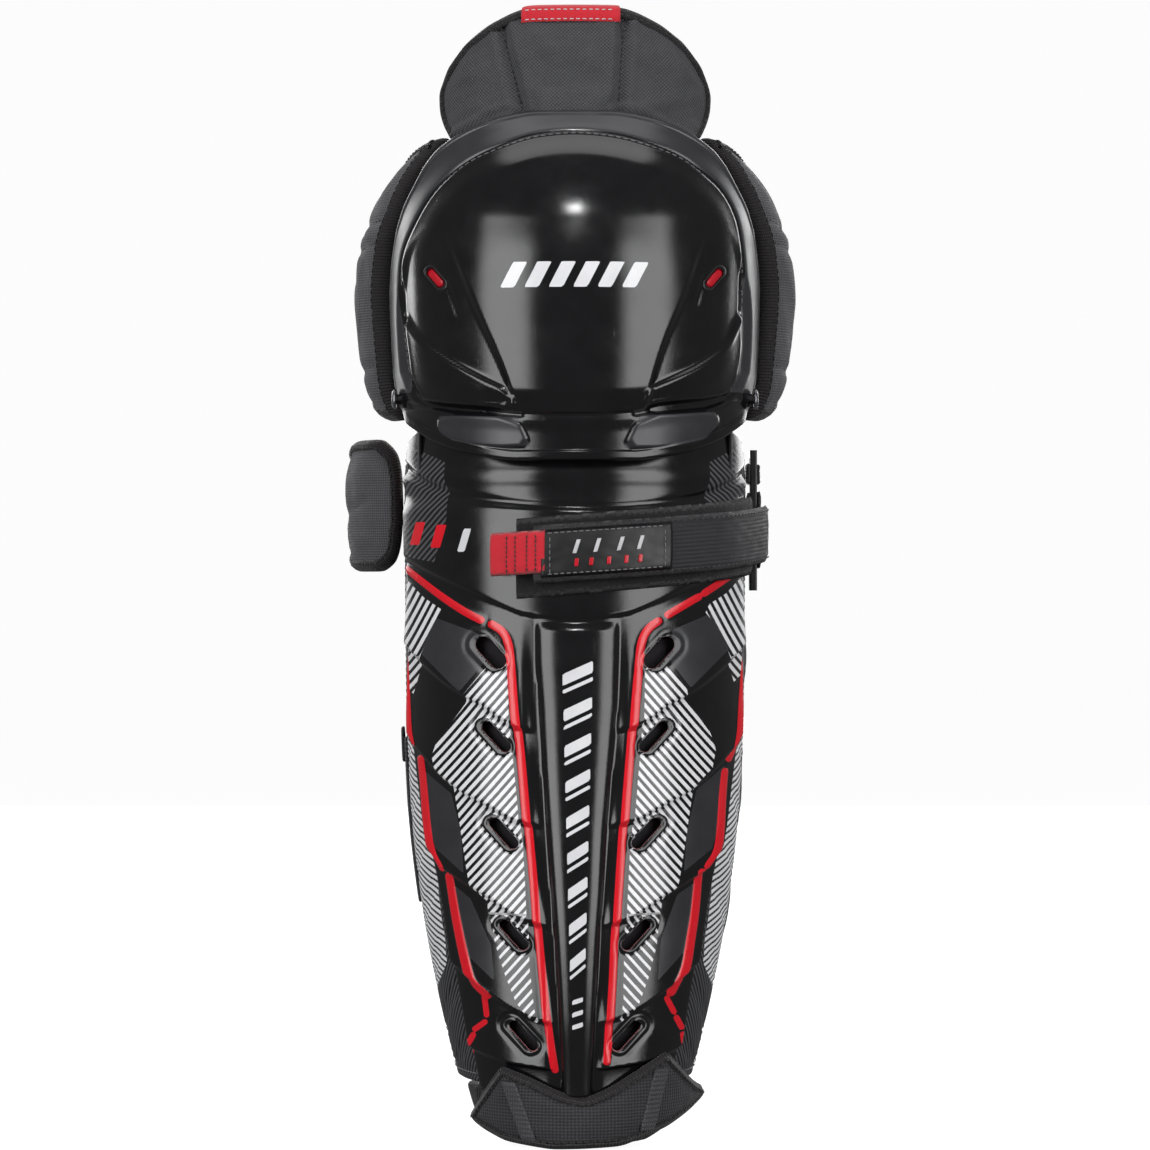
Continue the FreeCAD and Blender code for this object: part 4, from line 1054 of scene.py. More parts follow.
def lettering_stand_in(x, z):
    """Slanted bars up the ridge, thick and thin in turn, where the real one carries lettering."""
    best = np.full(np.shape(x), -1e3)
    for k in range(9):
        z0 = -181 - 17.0 * k
        wide = 6.6 - 0.4 * k
        for low, high in ((-6.5, -1.0), (-10.4, -8.6)):
            shape = [(1.2 - wide, z0 + low - 3), (1.2 - wide, z0 + high - 3), (1.2 + wide, z0 + high + 3.4),
                     (1.2 + wide, z0 + low + 3.4)]
            best = np.maximum(best, inside_of(x, z, shape))
    for z0 in (-341, -347, -353):
        best = np.maximum(best, inside_of(x, z, [(-1.2, z0 - 1.2), (-1.2, z0 + 1.0),
                                                 (3.4, z0 + 2.6), (3.4, z0 + 0.4)]))
    return best


def stripe_phase(x, z):
    """Counts stripes: they slant outward going down, and bend at each scale."""
    side = np.abs(x)
    steep = np.where(z > table_line(COLLAR_LINE, x) - 45, 65.0, 52.0)
    lean = np.radians(np.where(side > 60, steep, 52.0))
    pitch = np.where(z < -300, 3.5, 3.1)
    return (side * np.sin(lean) + z * np.cos(lean)) / pitch


def shin_fields(spot):
    x, z = spot["x"], spot["z"]
    white = shapes_inside(x, z, [STRIPES_LEFT, STRIPES_RIGHT, UPPER_STRIPES_LEFT, UPPER_STRIPES_RIGHT])
    for slot_z, slot_x, width in FRONT_SLOTS:
        for side in (-1, 1):
            rim = slot_inside(x, z, side * slot_x, slot_z, 18.5, width, SLOT_LEAN)
            white = np.minimum(white, -rim - 1.6)
    grey = shapes_inside(x, z, GREY_SCALES)
    collar_red = shapes_inside(x, z, [slant_bar(-72 + 10 * k, -118 - 1.5 * k, 4.6, 11) for k in range(2)])
    collar_silver = inside_of(x, z, slant_bar(-50, -121.5, 3.4, 11))
    collar_side = shapes_inside(x, z, [[(-84, -72), (-60, -84), (-58, -110), (-64, -132), (-84, -128)],
                                       [(86, -70), (62, -84), (60, -108), (68, -130), (86, -126)]])
    flank = np.minimum(np.abs(x) - np.interp(z, [-400, -338, -325, -310, -280, -250, -205, -190, -180],
                                             [64, 66, 60, 66, 70, 77, 80, 82, 90]), 20)
    fine = np.maximum(collar_side, flank)
    lean = math.radians(50)
    return {"red": np.maximum(spot["red"], collar_red), "charcoal": grey, "white": white,
            "silver": np.maximum(lettering_stand_in(x, z), collar_silver),
            "phase": stripe_phase(x, z), "thin": np.where(z < -300, 0.45, -0.1), "fine": fine,
            "fine_phase": (np.abs(x) * math.sin(lean) + z * math.cos(lean)) / 2.1}


CUT_FROM_Y, CUT_TO_Y = -140.0, -20.0


def slot_cutter(slots, name):
    """Round-ended bars to cut vent slots with: (x, z, length, width, lean)."""
    points, faces = [], []
    for x0, z0, length, width, lean in slots:
        side = math.copysign(1, x0)
        turn = math.radians(lean) * side
        reach = (length - width) / 2
        ring = [(width / 2 * math.cos(a), width / 2 * math.sin(a) + math.copysign(reach, math.sin(a)))
                for a in np.linspace(0.05, 2 * math.pi + 0.05, 28, endpoint=False)]
        base = len(points)
        for y in CUT_FROM_Y, CUT_TO_Y:
            points += [(x0 + u * math.cos(turn) + v * math.sin(turn), y,
                        z0 - u * math.sin(turn) + v * math.cos(turn)) for u, v in ring]
        n = len(ring)
        faces += [[base + k, base + (k + 1) % n, base + n + (k + 1) % n, base + n + k] for k in range(n)]
        faces += [[base + k for k in range(n)][::-1], [base + n + k for k in range(n)]]
    return weld(make_mesh(name, np.array(points), faces, []))


def cut_away(item, cutter):
    """Cuts the cutter's solid out of an object for good, and removes the cutter."""
    modifier = item.modifiers.new("cut", "BOOLEAN")
    modifier.operation, modifier.object, modifier.solver = "DIFFERENCE", cutter, "EXACT"
    graph = bpy.context.evaluated_depsgraph_get()
    mesh = bpy.data.meshes.new_from_object(item.evaluated_get(graph))
    item.modifiers.clear()
    item.data = mesh
    bpy.data.objects.remove(cutter)
    return item


def make_shin_cap():
    patch = Patch(shin, outline=SHIN_CAP, smoothing=3)

    def relief(spot):
        spot["inner"], spot["outer"], spot["red"] = shin_graphics(spot["x"], spot["z"])
        return shin_relief(spot)
    shell = slab("shin_cap_shell", patch, 1.15, -3.2, -0.4, SHELL, outer=relief, fields=shin_fields)
    slots = [(side * x, z, 18.0, width, SLOT_LEAN) for z, x, width in FRONT_SLOTS for side in (-1, 1)]
    cut_away(shell, slot_cutter(slots, "slot_cutter"))
    ride(shell, "shin", "shell", "shin_cap")
    for side in (-1, 1):
        ride(ear(side), "shin", "shell")


def rounded_plate(name, outline, axis, near, far, material, soften=0.5):
    """A flat plate of the given outline, its edges rounded, along X or Y."""
    p = counter_clockwise(np.array(outline, float))
    normal = inward_normals(p)
    step = 1 if far > near else -1
    levels = [(near, soften), (near + 0.3 * soften * step, 0.3 * soften), (near + soften * step, 0),
              (far - soften * step, 0), (far - 0.3 * soften * step, 0.3 * soften), (far, soften)]
    rings = []
    for level, shrink in levels:
        q = p + normal * shrink
        columns = ([np.full(len(q), level), q[:, 0], q[:, 1]] if axis == "x"
                   else [q[:, 0], np.full(len(q), level), q[:, 1]])
        rings.append(np.stack(columns, axis=1))
    return sweep(name, np.array(rings), material, closed=False, ends=True)


PIVOT = (-36.0, -52.6)


def ear(side):
    """The tab that rises from the shin cap to the knee cap's rivet."""
    y, z = PIVOT
    head = [(y + 9 * math.cos(a), z + 9 * math.sin(a)) for a in np.linspace(-0.2, math.pi + 0.2, 30)]
    outline = resample([*head, (y - 10, -74), (y - 10.5, -90), (y + 10.5, -90), (y + 10, -74)], 1.2,
                       closed=True)
    name = "pivot_ear_medial" if side > 0 else "pivot_ear_lateral"
    return rounded_plate(name, outline, "x", side * 74.2, side * 76.3, BLACK_PLASTIC, 0.5)


def turned(name, profile, centre, material):
    """A turned shape about a line along X through (y, z): the profile is (x, radius)."""
    y, z = centre
    turn = np.linspace(0, 2 * math.pi, 48, endpoint=False)
    rings = [np.stack([x + 0 * turn, y + r * np.cos(turn), z + r * np.sin(turn)], axis=1) for x, r in profile]
    return sweep(name, np.array(rings), material, closed=False, ends=True)


def make_rivets():
    for side, name in ((1, "medial"), (-1, "lateral")):
        profile = [(72.2, 1.0), (72.2, 3.2), (72.5, 3.8), (73.4, 4.0), (73.8, 3.8), (73.8, 2.45),
                   (86.9, 2.45), (87.0, 4.9), (87.5, 5.1), (88.2, 4.7), (88.8, 3.9), (89.1, 2.9), (89.0, 2.5),
                   (88.5, 2.2), (88.3, 1.6), (88.3, 0.4)]
        rivet = turned(f"pivot_rivet_{name}", [(side * x, r) for x, r in profile], PIVOT, STEEL)
        ride(rivet, "shin", "steel", "pivot_rivets")
        washer = turned(f"pivot_washer_{name}", [(side * x, r) for x, r in
                        [(76.75, 2.6), (76.75, 5.6), (76.9, 5.9), (77.6, 5.9), (77.75, 5.6), (77.75, 2.6)]],
                        PIVOT, STEEL)
        ride(washer, "shin", "steel", "pivot_washers")


PANEL_STRIPES = [(61.9, -326), (65, -299), (68, -277), (72, -262), (76, -220), (78, -196), (110, -196),
                 (110, -356), (74, -356), (67.4, -340)]


def side_panel_fields(spot):
    """Fine slanted lines, and white stripes down the side."""
    side, run, z = np.abs(spot["x"]), np.abs(spot["s"]), spot["z"]
    lean, white_lean = math.radians(52), math.radians(15)
    absent = np.full_like(z, -5.0)
    return {"red": absent, "charcoal": absent, "silver": absent, "fine": -absent, "thin": absent * 0.05,
            "white": inside_of(side, z + 0.4 * np.maximum(run - 98, 0), PANEL_STRIPES),
            "phase": (z * math.cos(white_lean) - run * math.sin(white_lean)) / 3.1,
            "fine_phase": (run * math.sin(lean) + z * math.cos(lean)) / 2.4}


def make_side_panels():
    for name, outline in (("medial", SIDE_PANEL), ("lateral", other_side(SIDE_PANEL))):
        patch = Patch(shin, outline=outline)

        def relief(spot):
            """Pressed ribs that follow the panel, and a raised rim."""
            rib = np.abs(np.mod(spot["z"] * 0.8 + np.abs(spot["s"]) * 0.6, 24) - 12)
            ribs = 0.5 * ramp(rib, 3.2, 4.6) * ramp(spot["d"], 6, 9)
            return ribs + 0.4 * ramp(-spot["d"], -3.2, -1.8) - 0.2
        panel = slab(f"side_panel_{name}_shell", patch, 1.6, 0, 2, SIDE_SHELL, outer=relief,
                     fields=side_panel_fields)
        ride(panel, "shin", "side_shell", f"side_panel_{name}")
        edge_seam(f"side_panel_{name}_stitching", patch, 4.4, -0.2, "shin", "side_shell", GREY_THREAD)


def make_shin_layers():
    foam = slab("shin_foam_layer", Patch(shin, outline=SHIN_LAYER).inset(1.5), 4, 2.4, 8.4, FOAM)
    ride(foam, "shin", "foam", "shin_foam")
    lining = slab("shin_lining_cloth", Patch(shin, outline=SHIN_LAYER), 3, 8.8, 10.0, MESH,
                  inner=lambda spot: 0.5 * ramp(spot["d"], 2, 14))
    ride(lining, "shin", "mesh_fabric", "shin_lining")
    for k, height in enumerate((-135, -240, -345)):
        strip = Patch(shin, outline=symmetric([(height - 15, 24), (height + 15, 24)]), smoothing=3)
        tape = slab(f"shin_touch_tape_{k + 1}", strip, 2.5, 10.3, 11.4, [HOOK, HOOK, HOOK])
        ride(tape, "shin", "touch_hook", "shin_touch_tape")
    base = slab("base_edge_tape", Patch(shin, outline=BASE), 1.8, 2.2, 10.6, EDGE_TAPE, edge_round=4,
                outer=lambda spot: 0.35 * ripple(spot["s"], 2.0, 17.0))
    ride(base, "shin", "binding_fabric", "base_binding")


# ---------------------------------------------------------------- knee cap

DOME_EDGE = [(0, 73), (-20, 71), (-35, 66), (-50, 60), (-62, 51), (-70, 42), (-77, 30), (-82, 20), (-84, 10),
             (-84, -10), (-82, -25), (-80, -40), (-77, -54), (-60, -58.5), (-26, -61.5), (0, -62), (28, -61),
             (45, -57.5), (64, -55), (76, -50), (80, -32), (80, -20), (81, 0), (80, 20), (77, 35), (70, 47),
             (60, 55), (50, 62), (35, 67), (20, 71)]
FACETS = [[(-62, 30), (-57, 22), (-48, -5), (-31, -42), (-25, -64), (-84, -58), (-88, -10), (-82, 16),
           (-72, 28)],
          [(62, 31), (58, 22), (50, -5), (40, -28), (34, -48), (30, -64), (84, -58), (88, -10), (80, 16),
           (72, 29)]]
WEDGES = [[(-84, -9), (-75, -22), (-60, -34), (-45, -43), (-29, -51), (-25, -61), (-60, -58), (-78, -54)],
          [(84, -8), (79, -12), (70, -28), (57, -38), (45, -44), (32, -50), (30, -60), (45, -57), (66, -55),
           (80, -50)]]
LIP_PANELS = [[(-66, -61), (-27, -62.5), (-20, -78), (-40, -78.5), (-58, -75), (-67, -70)],
              [(30, -62), (68, -59), (71, -66), (62, -74), (44, -78.5), (22, -79)]]
LIP_GROOVES = [[(-80, -56), (-60, -59.5), (-26, -62.5)], [(80, -52), (64, -56.5), (45, -59), (29, -62)]]
SMALL_CREASES = [[(-61, 2), (-55, -15)], [(61, 4), (57, -10)]]
MARK = [[(-34 + 11 * k, -3), (-27.5 + 11 * k, -3), (-21.5 + 11 * k, 9), (-28 + 11 * k, 9)] for k in range(6)]
KNEE_VENT = (66.5, 3.5, 40)


def knee_relief(spot):
    x, z, d = spot["x"], spot["z"], spot["d"]
    inner = inside_of(x, z, curve(DOME_EDGE, 2, closed=True, rounds=2))
    height = 1.1 * ramp(inner, -0.4, 0.8) + 2.6 * ramp(inner, 0, 12)
    height = height - 0.9 * bump(inner + 1.0, 1.0)
    height = height - 0.9 * ramp(-inner, 1, 10) + 0.6 * ramp(3.0 - d, 0, 1.2) * ramp(z, -60, -50)
    for facet in FACETS:
        within = inside_of(x, z, curve(facet, 2, closed=True, rounds=2))
        height = height - 2.6 * ramp(within, -0.5, 3.0) * ramp(-z, -30, 2)
    for wedge in WEDGES:
        within = inside_of(x, z, curve(wedge, 2, closed=True, rounds=1))
        height = height + 2.4 * ramp(within, -0.4, 2.6)
        height = height + 0.5 * bump(within - 1.6, 1.2)
    for crease in SMALL_CREASES:
        height = height - 0.6 * bump(line_distance(x, z, crease)[0], 1.2)
    for panel in LIP_PANELS:
        height = height + 1.5 * ramp(inside_of(x, z, curve(panel, 2, closed=True, rounds=1)), -0.2, 1.8)
    for groove in LIP_GROOVES:
        height = height - 1.4 * bump(line_distance(x, z, groove)[0], 1.3)
    height = height + 1.3 * ramp(5.2 - d, 0, 1.2) * ramp(-z, 58, 66)
    for side in (-1, 1):
        rim = slot_inside(x, z, side * KNEE_VENT[0], KNEE_VENT[1], 14, 6, KNEE_VENT[2])
        height = height - 0.6 * ramp(rim, -1.0, 0.4)
    return height


def knee_fields(spot):
    x, z = spot["x"], spot["z"]
    none = -5 + 0 * x
    inner = inside_of(x, z, curve(DOME_EDGE, 2, closed=True, rounds=2))
    flange = np.minimum(-inner - 2.0, z + 50)
    panels = shapes_inside(x, z, LIP_PANELS) - 1.0
    return {"red": none, "charcoal": np.maximum(flange, panels), "white": none,
            "silver": shapes_inside(x, z, MARK), "phase": z, "thin": 0 * x, "fine": none, "fine_phase": z}


def front_point(table, x, z, below):
    size = smooth(table, z)
    width, depth = size[..., 0] - below, size[..., 1] - below
    y = -depth * np.sqrt(np.clip(1 - (x / width) ** 2, 0, 1))
    return np.stack([x, y, z + 0 * x], axis=-1)


def stadium(length, width, lean, side):
    """Points round a round-ended slot about its centre."""
    reach = (length - width) / 2
    turn = np.linspace(0.04, 2 * math.pi + 0.04, 40, endpoint=False)
    across = width / 2 * np.cos(turn)
    along = width / 2 * np.sin(turn) + np.copysign(reach, np.sin(turn))
    tilt = math.radians(lean) * side
    return across * math.cos(tilt) + along * math.sin(tilt), -across * math.sin(tilt) + along * math.cos(tilt)


def button(name, table, centre, length, width, lean, levels, material, height_at=None):
    """A round-ended boss on a surface: levels are (share of the outline, depth below the surface)."""
    x0, z0 = centre
    dx, dz = stadium(length, width, lean, math.copysign(1, x0))
    rings = []
    for share, below in levels:
        x, z = x0 + dx * share, z0 + dz * share
        lift = height_at(x, z) if height_at else 0
        rings.append(front_point(table, x, z, below - lift))
    rings = np.array(rings)
    return sweep(name, rings, material, drawn_flat(rings), closed=False, ends=True)


def make_knee_cap():
    patch = Patch(knee, front=both_halves(KNEE_CAP_EDGE), table=KNEE)
    cap = slab("knee_cap_shell", patch, 1.15, 0, 3, SHELL, outer=knee_relief, fields=knee_fields)
    for side in (-1, 1):
        x, z, lean = KNEE_VENT
        cut_away(cap, slot_cutter([(side * x, z, 12.6, 4.4, lean)], "vent_cutter"))
    ride(cap, "knee", "shell", "knee_cap")

    def height_at(x, z):
        return knee_relief({"x": x, "z": z, "d": 20 + 0 * x})
    for side, name in ((-1, "lateral"), (1, "medial")):
        centre = (side * KNEE_VENT[0], KNEE_VENT[1])
        rim = button(f"knee_vent_rim_{name}", KNEE, centre, 15.0, 6.2, KNEE_VENT[2],
                     [(0.8, 1.5), (1.0, 0.4), (1.0, -0.1), (0.94, -0.6), (0.86, -0.7), (0.78, -0.4),
                      (0.72, 0.3), (0.7, 1.4)], BLACK_PLASTIC, height_at)
        ride(rim, "knee", "shell", "knee_vent_inserts")
        insert = button(f"knee_vent_insert_{name}", KNEE, centre, 10.6, 3.5, KNEE_VENT[2],
                        [(0.98, 2.4), (1.0, 1.0), (0.95, 0.5), (0.8, 0.2), (0.5, 0.0), (0.15, -0.05)],
                        RED_PLASTIC, height_at)
        ride(insert, "knee", "red_plastic", "knee_vent_inserts")
    line = curve(DOME_EDGE[:12][::-1] + DOME_EDGE[20:][::-1], 1.5, rounds=2)
    x, z = line[:, 0], line[:, 1]
    depth = -height_at(x, z)
    seam = stitches("knee_cap_stitching", front_point(KNEE, x, z, depth), GREY_THREAD, length=2.6, gap=1.0,
                    radius=0.25, lift=0.15,
                    out=front_point(KNEE, x, z, depth - 1) - front_point(KNEE, x, z, depth))
    ride(seam, "knee", "shell")
    foam_edge = symmetric([(-62, 44), (-40, 51), (0, 54), (30, 51), (52, 40)])
    foam = slab("knee_foam_block", Patch(knee, outline=foam_edge, smoothing=6), 4, 3.4, 11.2, FOAM,
                inner=lambda spot: 0.2 * ramp(spot["d"], 0, 12))
    ride(foam, "knee", "foam", "knee_foam")
    lining_edge = symmetric([(-64, 46), (-40, 53), (0, 56), (30, 53), (54, 42)])
    lining = slab("knee_lining_cloth", Patch(knee, outline=lining_edge, smoothing=6), 3, 11.8, 13, MESH,
                  inner=lambda spot: 0.4 * ramp(spot["d"], 2, 14))
    ride(lining, "knee", "mesh_fabric", "knee_lining")


# ---------------------------------------------------------------- padded pieces

SWELL_FRAMES = 20
SWELL_REACH = 4.5           # mm from a sewn line within which the cloth is held
SWELL_PRESSURE = 8
SWELL_SPARE_CLOTH = 0.05    # how much larger the cloth is cut than the pad
SWELL_MASS = 0.01
SWELL_VOXEL = 4.5           # mm


def groove(distance, depth, width):
    return -depth * bump(distance, width)


TAPE_WIDTH = 5.0


def make_padded(prefix, patch, thick, cloth, lining_cloth, channels, puff=1.0, seed=1.0, cap=2.4):
    """A pad with its lining, edge tape and stitching. channels are sewn lines on the pad, in (s, z)."""
    body = prefix
    body_patch = patch.inset(1.2)

    def crown(spot):
        height = puff * ramp(spot["d"], 2.5, 17) - 0.4 * (1 - ramp(spot["d"], 3, 8))
        for line in channels:
            height = height + groove(line_distance(spot["s"], spot["z"], line)[0], puff * 0.9, 2.3)
        return height + 0.28 * ripple(spot["s"] + 0.6 * spot["z"], seed, 34) * ramp(spot["d"], 4, 12)

    pad = slab(f"{prefix}_cover", body_patch, 1.9, 0, thick, cloth, outer=crown)
    swell(pad, patch, (0, thick / 2, thick), channels, cap)
    ride(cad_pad(pad), body, "textured_fabric", f"{prefix}_pad")
    lining = slab(f"{prefix}_inner_cloth", body_patch, 2.2, thick + 0.15, thick + 1.4, lining_cloth,
                  inner=lambda spot: 0.8 * ramp(spot["d"], 3, 15)
                  + 0.2 * ripple(spot["z"] + 0.4 * spot["s"], seed + 2, 27))
    ride(lining, body, "mesh_fabric", f"{prefix}_lining")
    tape = binding(f"{prefix}_edge_tape", patch, 0.0, thick + 1.4, TAPE_WIDTH, EDGE_TAPE, seed=seed)
    ride(tape, body, "binding_fabric", f"{prefix}_binding")
    for side, below in (("outer", -1.05), ("inner", thick + 2.45)):
        edge_seam(f"{prefix}_tape_stitching_{side}", patch, TAPE_WIDTH - 1.3, below, body, "binding_fabric",
                  length=2.4, gap=1.2, radius=0.24, lift=0.2 if side == "outer" else -0.2)
    for k, line in enumerate(channels):
        seam = flat_stitches(f"{prefix}_channel_stitching_{k + 1}", patch, curve(line, 1.0, rounds=1), 0.15,
                             BLACK_THREAD, length=2.2, gap=1.3, radius=0.26)
        ride(seam, body, "textured_fabric")
    return patch, pad


def mesh_points(mesh):
    """A mesh's points, in mm."""
    points = np.empty(len(mesh.vertices) * 3)
    mesh.vertices.foreach_get("co", points)
    return points.reshape(-1, 3) / MM


def point_tree(points):
    tree = KDTree(len(points))
    for k, point in enumerate(points):
        tree.insert(point, k)
    tree.balance()
    return tree


def coarse_cloth(item, held_points):
    """A coarse copy of a pad, set up as stuffed cloth that is held near the given points."""
    coarse = bpy.data.objects.new("swelling", item.data.copy())
    bpy.context.scene.collection.objects.link(coarse)
    remesh = coarse.modifiers.new("remesh", "REMESH")
    remesh.mode, remesh.voxel_size = "VOXEL", SWELL_VOXEL * MM
    graph = bpy.context.evaluated_depsgraph_get()
    mesh = bpy.data.meshes.new_from_object(coarse.evaluated_get(graph))
    coarse.modifiers.clear()
    coarse.data = mesh
    tree = point_tree(held_points)
    held = [k for k, point in enumerate(mesh_points(mesh)) if tree.find(point)[2] < SWELL_REACH]
    coarse.vertex_groups.new(name="held").add(held, 1.0, "REPLACE")
    cloth = coarse.modifiers.new("cloth", "CLOTH")
    cloth.point_cache.frame_start, cloth.point_cache.frame_end = 1, SWELL_FRAMES
    cloth.settings.quality = 5
    cloth.settings.vertex_group_mass = "held"
    cloth.settings.use_pressure = True
    cloth.settings.uniform_pressure_force = SWELL_PRESSURE
    cloth.settings.shrink_min = -SWELL_SPARE_CLOTH
    cloth.settings.mass = SWELL_MASS
    cloth.settings.effector_weights.gravity = 0
    return coarse


def run_cloth(coarse):
    """How far each point of the coarse copy moves, in mm. The copy is removed."""
    start = mesh_points(coarse.data)
    scene = bpy.context.scene
    for number in range(1, SWELL_FRAMES + 1):
        scene.frame_set(number)
    graph = bpy.context.evaluated_depsgraph_get()
    mesh = bpy.data.meshes.new_from_object(coarse.evaluated_get(graph))
    moved = mesh_points(mesh) - start
    bpy.data.objects.remove(coarse)
    scene.frame_set(1)
    return start, moved


def swell(item, patch, depths, channels=(), cap=2.4, side=1, stuffing=None):
    """Stuffs a pad. A coarse copy of it, or of its stuffing, is blown up as cloth, held at the pad's edge and
    along its sewn channels. The outer face (side 1) or the leg side (side -1) takes the swelling, up to a cap
    in mm."""
    lines = [np.vstack([patch.edge, patch.edge[:1]])] + [curve(line, 2.0, rounds=1) for line in channels]
    held = np.vstack([patch.place(line[:, 0], line[:, 1], depth)
                      for line in map(np.array, lines) for depth in depths])
    start, moved = run_cloth(coarse_cloth(stuffing or item, held))
    tree = point_tree(start)
    mesh = item.data
    points = mesh_points(mesh)
    normals, flat = np.empty(points.size), np.empty(points.size)
    mesh.vertex_normals.foreach_get("vector", normals)
    mesh.attributes["flat"].data.foreach_get("vector", flat)
    flat = flat.reshape(-1, 3)
    out = outward(patch, flat[:, 0], flat[:, 1], 0.0) * side
    facing = ramp(np.sum(normals.reshape(-1, 3) * out, axis=1), 0.1, 0.6)
    shift = np.zeros((len(points), 3))
    for k in np.nonzero(facing > 0)[0]:
        near = tree.find_n(points[k], 7)
        weight = np.array([1 / (gap + 0.5) for _, _, gap in near])
        shift[k] = weight @ moved[[index for _, index, _ in near]] / weight.sum()
    amount = cap * np.tanh(np.clip(np.sum(shift * out, axis=1), 0, None) / cap) * facing
    mesh.vertices.foreach_set("co", ((points + out * amount[:, None]) * MM).ravel())
    mesh.update()
    print(item.name, "swelled by up to", round(float(amount.max()), 2), "mm")
    return item


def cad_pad(item):
    return item


def make_knee_wings():
    for side, name, outline in ((1, "medial", KNEE_WING_PAD), (-1, "lateral", other_side(KNEE_WING_PAD))):
        patch = Patch(knee_wing, outline=outline, smoothing=3)
        ends = [((66.0, 38.0), (104.0, 31.0)), ((66.0, 26.0), (106.0, 19.0)), ((66.0, -34.0), (100.0, -39.0))]
        channels = [[(float(patch.s_of(side * angle, z)), z) for angle, z in line] for line in ends]
        make_padded(f"knee_wing_{name}", patch, 7.5, WING_WEAVE, MESH, channels, puff=1.1, seed=2.0 + side,
                    cap=0.7)


GUSSET_WALL = 1.6


def gusset(name, inner_line, outer_line):
    """A strip of cloth from a line of points on one body to a line on another."""
    rings = []
    for p, q in zip(inner_line, outer_line):
        run = (q - p) / np.linalg.norm(q - p)
        square = np.cross(run, [0, 0, 1.0])
        square *= math.copysign(1, p[0]) / np.linalg.norm(square)
        shares = np.linspace(0, 1, 9)
        sag = -0.8 * np.sin(math.pi * shares)
        middle = p + np.outer(shares, q - p) + np.outer(sag, square)
        rings.append(np.vstack([middle + square * GUSSET_WALL / 2,
                                (middle - square * GUSSET_WALL / 2)[::-1]]))
    rings = np.array(rings)
    flat = np.stack([np.tile(np.arange(18) * 2.0, len(rings)), rings[..., 2].ravel(),
                     np.zeros(rings[..., 0].size)], axis=1)
    strip = sweep(name, rings, MESH, {"flat": flat}, closed=False, ends=True)
    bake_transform(strip)


def make_gussets():
    """Cloth that joins the knee wings to the knee cap, and the calf wraps to the side panels."""
    wing_heights, wrap_heights = np.linspace(-46, 54, 40), np.linspace(-336, -108, 70)
    for side, name in ((1, "medial"), (-1, "lateral")):
        cap_line, wing_line = knee(side * 60.0, wing_heights, 6.5), knee_wing(side * 69.0, wing_heights, 8.6)
        gusset(f"knee_wing_{name}_gusset", cap_line, wing_line)
        panel_line, wrap_line = shin(side * 93.0, wrap_heights, 3.0), shin(side * 101.9, wrap_heights, 4.5)
        gusset(f"calf_wrap_{name}_gusset", panel_line, wrap_line)


def make_wraps():
    for side, name, outline in ((1, "medial", MEDIAL_WRAP), (-1, "lateral", LATERAL_WRAP)):
        patch = Patch(shin, outline=outline, smoothing=3, middle=side * 101.0)
        channels = [np.array([(side * 6.0, z + 9), (side * 46.0, z - 3)]) for z in (-165.0, -225.0, -282.0)]
        make_padded(f"calf_wrap_{name}", patch, 8.0, MESH, FINE_MESH, channels, seed=4.0 + side)
    make_accent()
    make_side_label()
    make_calf_strap()


def shin_strip(name, rows, top, bottom, material, relief=None, middle=0.0):
    patch = Patch(shin, outline=rows, smoothing=3, middle=middle)
    return patch, slab(name, patch, 1.6, top, bottom, material, inner=relief)


def make_accent():
    rows = [(z, -90 - back / BACK_MM_PER_DEGREE, -90 - (back - 9) / BACK_MM_PER_DEGREE)
            for z, back in [(-160, 54), (-210, 58), (-260, 57), (-320, 41)]]
    _, accent = shin_strip("calf_accent_leaf", rows, 9.2, 10.8, RED_CLOTH, middle=-120.0,
                           relief=lambda spot: 0.5 * ramp(spot["d"], 0.5, 3))
    ride(accent, "calf_wrap_lateral", "red_fabric", "calf_accent")


def make_side_label():
    rows = [(z, 90 + 45 / BACK_MM_PER_DEGREE, last) for z, _, last in wrap_outline([(-266, 57), (-212, 60)])]
    patch, label = shin_strip("side_label_patch", rows, 9.4, 10.9, RED_CLOTH, middle=123.0)
    ride(label, "calf_wrap_medial", "red_fabric", "side_label")
    edge_seam("side_label_stitching", patch, 1.6, 11.0, "calf_wrap_medial", "red_fabric", lift=-0.2)


def make_calf_strap():
    pieces = [("calf_strap_outer_web", [(-302, 103, 124), (-219, 103, 131)], -2.9, -1.1, STRAP_GREY, -117.0,
               "calf_wrap_lateral", "calf_strap_outer"),
              ("strap_keeper_band", [(-232, 107, 116), (-214, 107, 116)], -4.6, -3.0, STRAP, -112.0,
               "calf_wrap_lateral", "strap_keeper"),
              ("calf_strap_inner_web", [(-282, 106, 116), (-196, 106, 116)], 11.5, 13.0, STRAP_GREY, -111.0,
               "calf_strap", "calf_strap_inner")]
    for name, rows, top, bottom, material, middle, body, node in pieces:
        _, item = shin_strip(name, other_side(rows), top, bottom, material, middle=middle)
        ride(item, body, "webbing", node)
    tab = other_side([(-268, 116.6, 121), (-202, 116.6, 121)])
    patch, item = shin_strip("calf_strap_red_tab", tab, 11.5, 13.0, RED_CLOTH, middle=-119.0)
    ride(item, "calf_strap", "red_fabric", "calf_strap_tab")
    edge_seam("calf_strap_tab_stitching", patch, 1.3, 13.1, "calf_strap", "red_fabric", lift=-0.2)


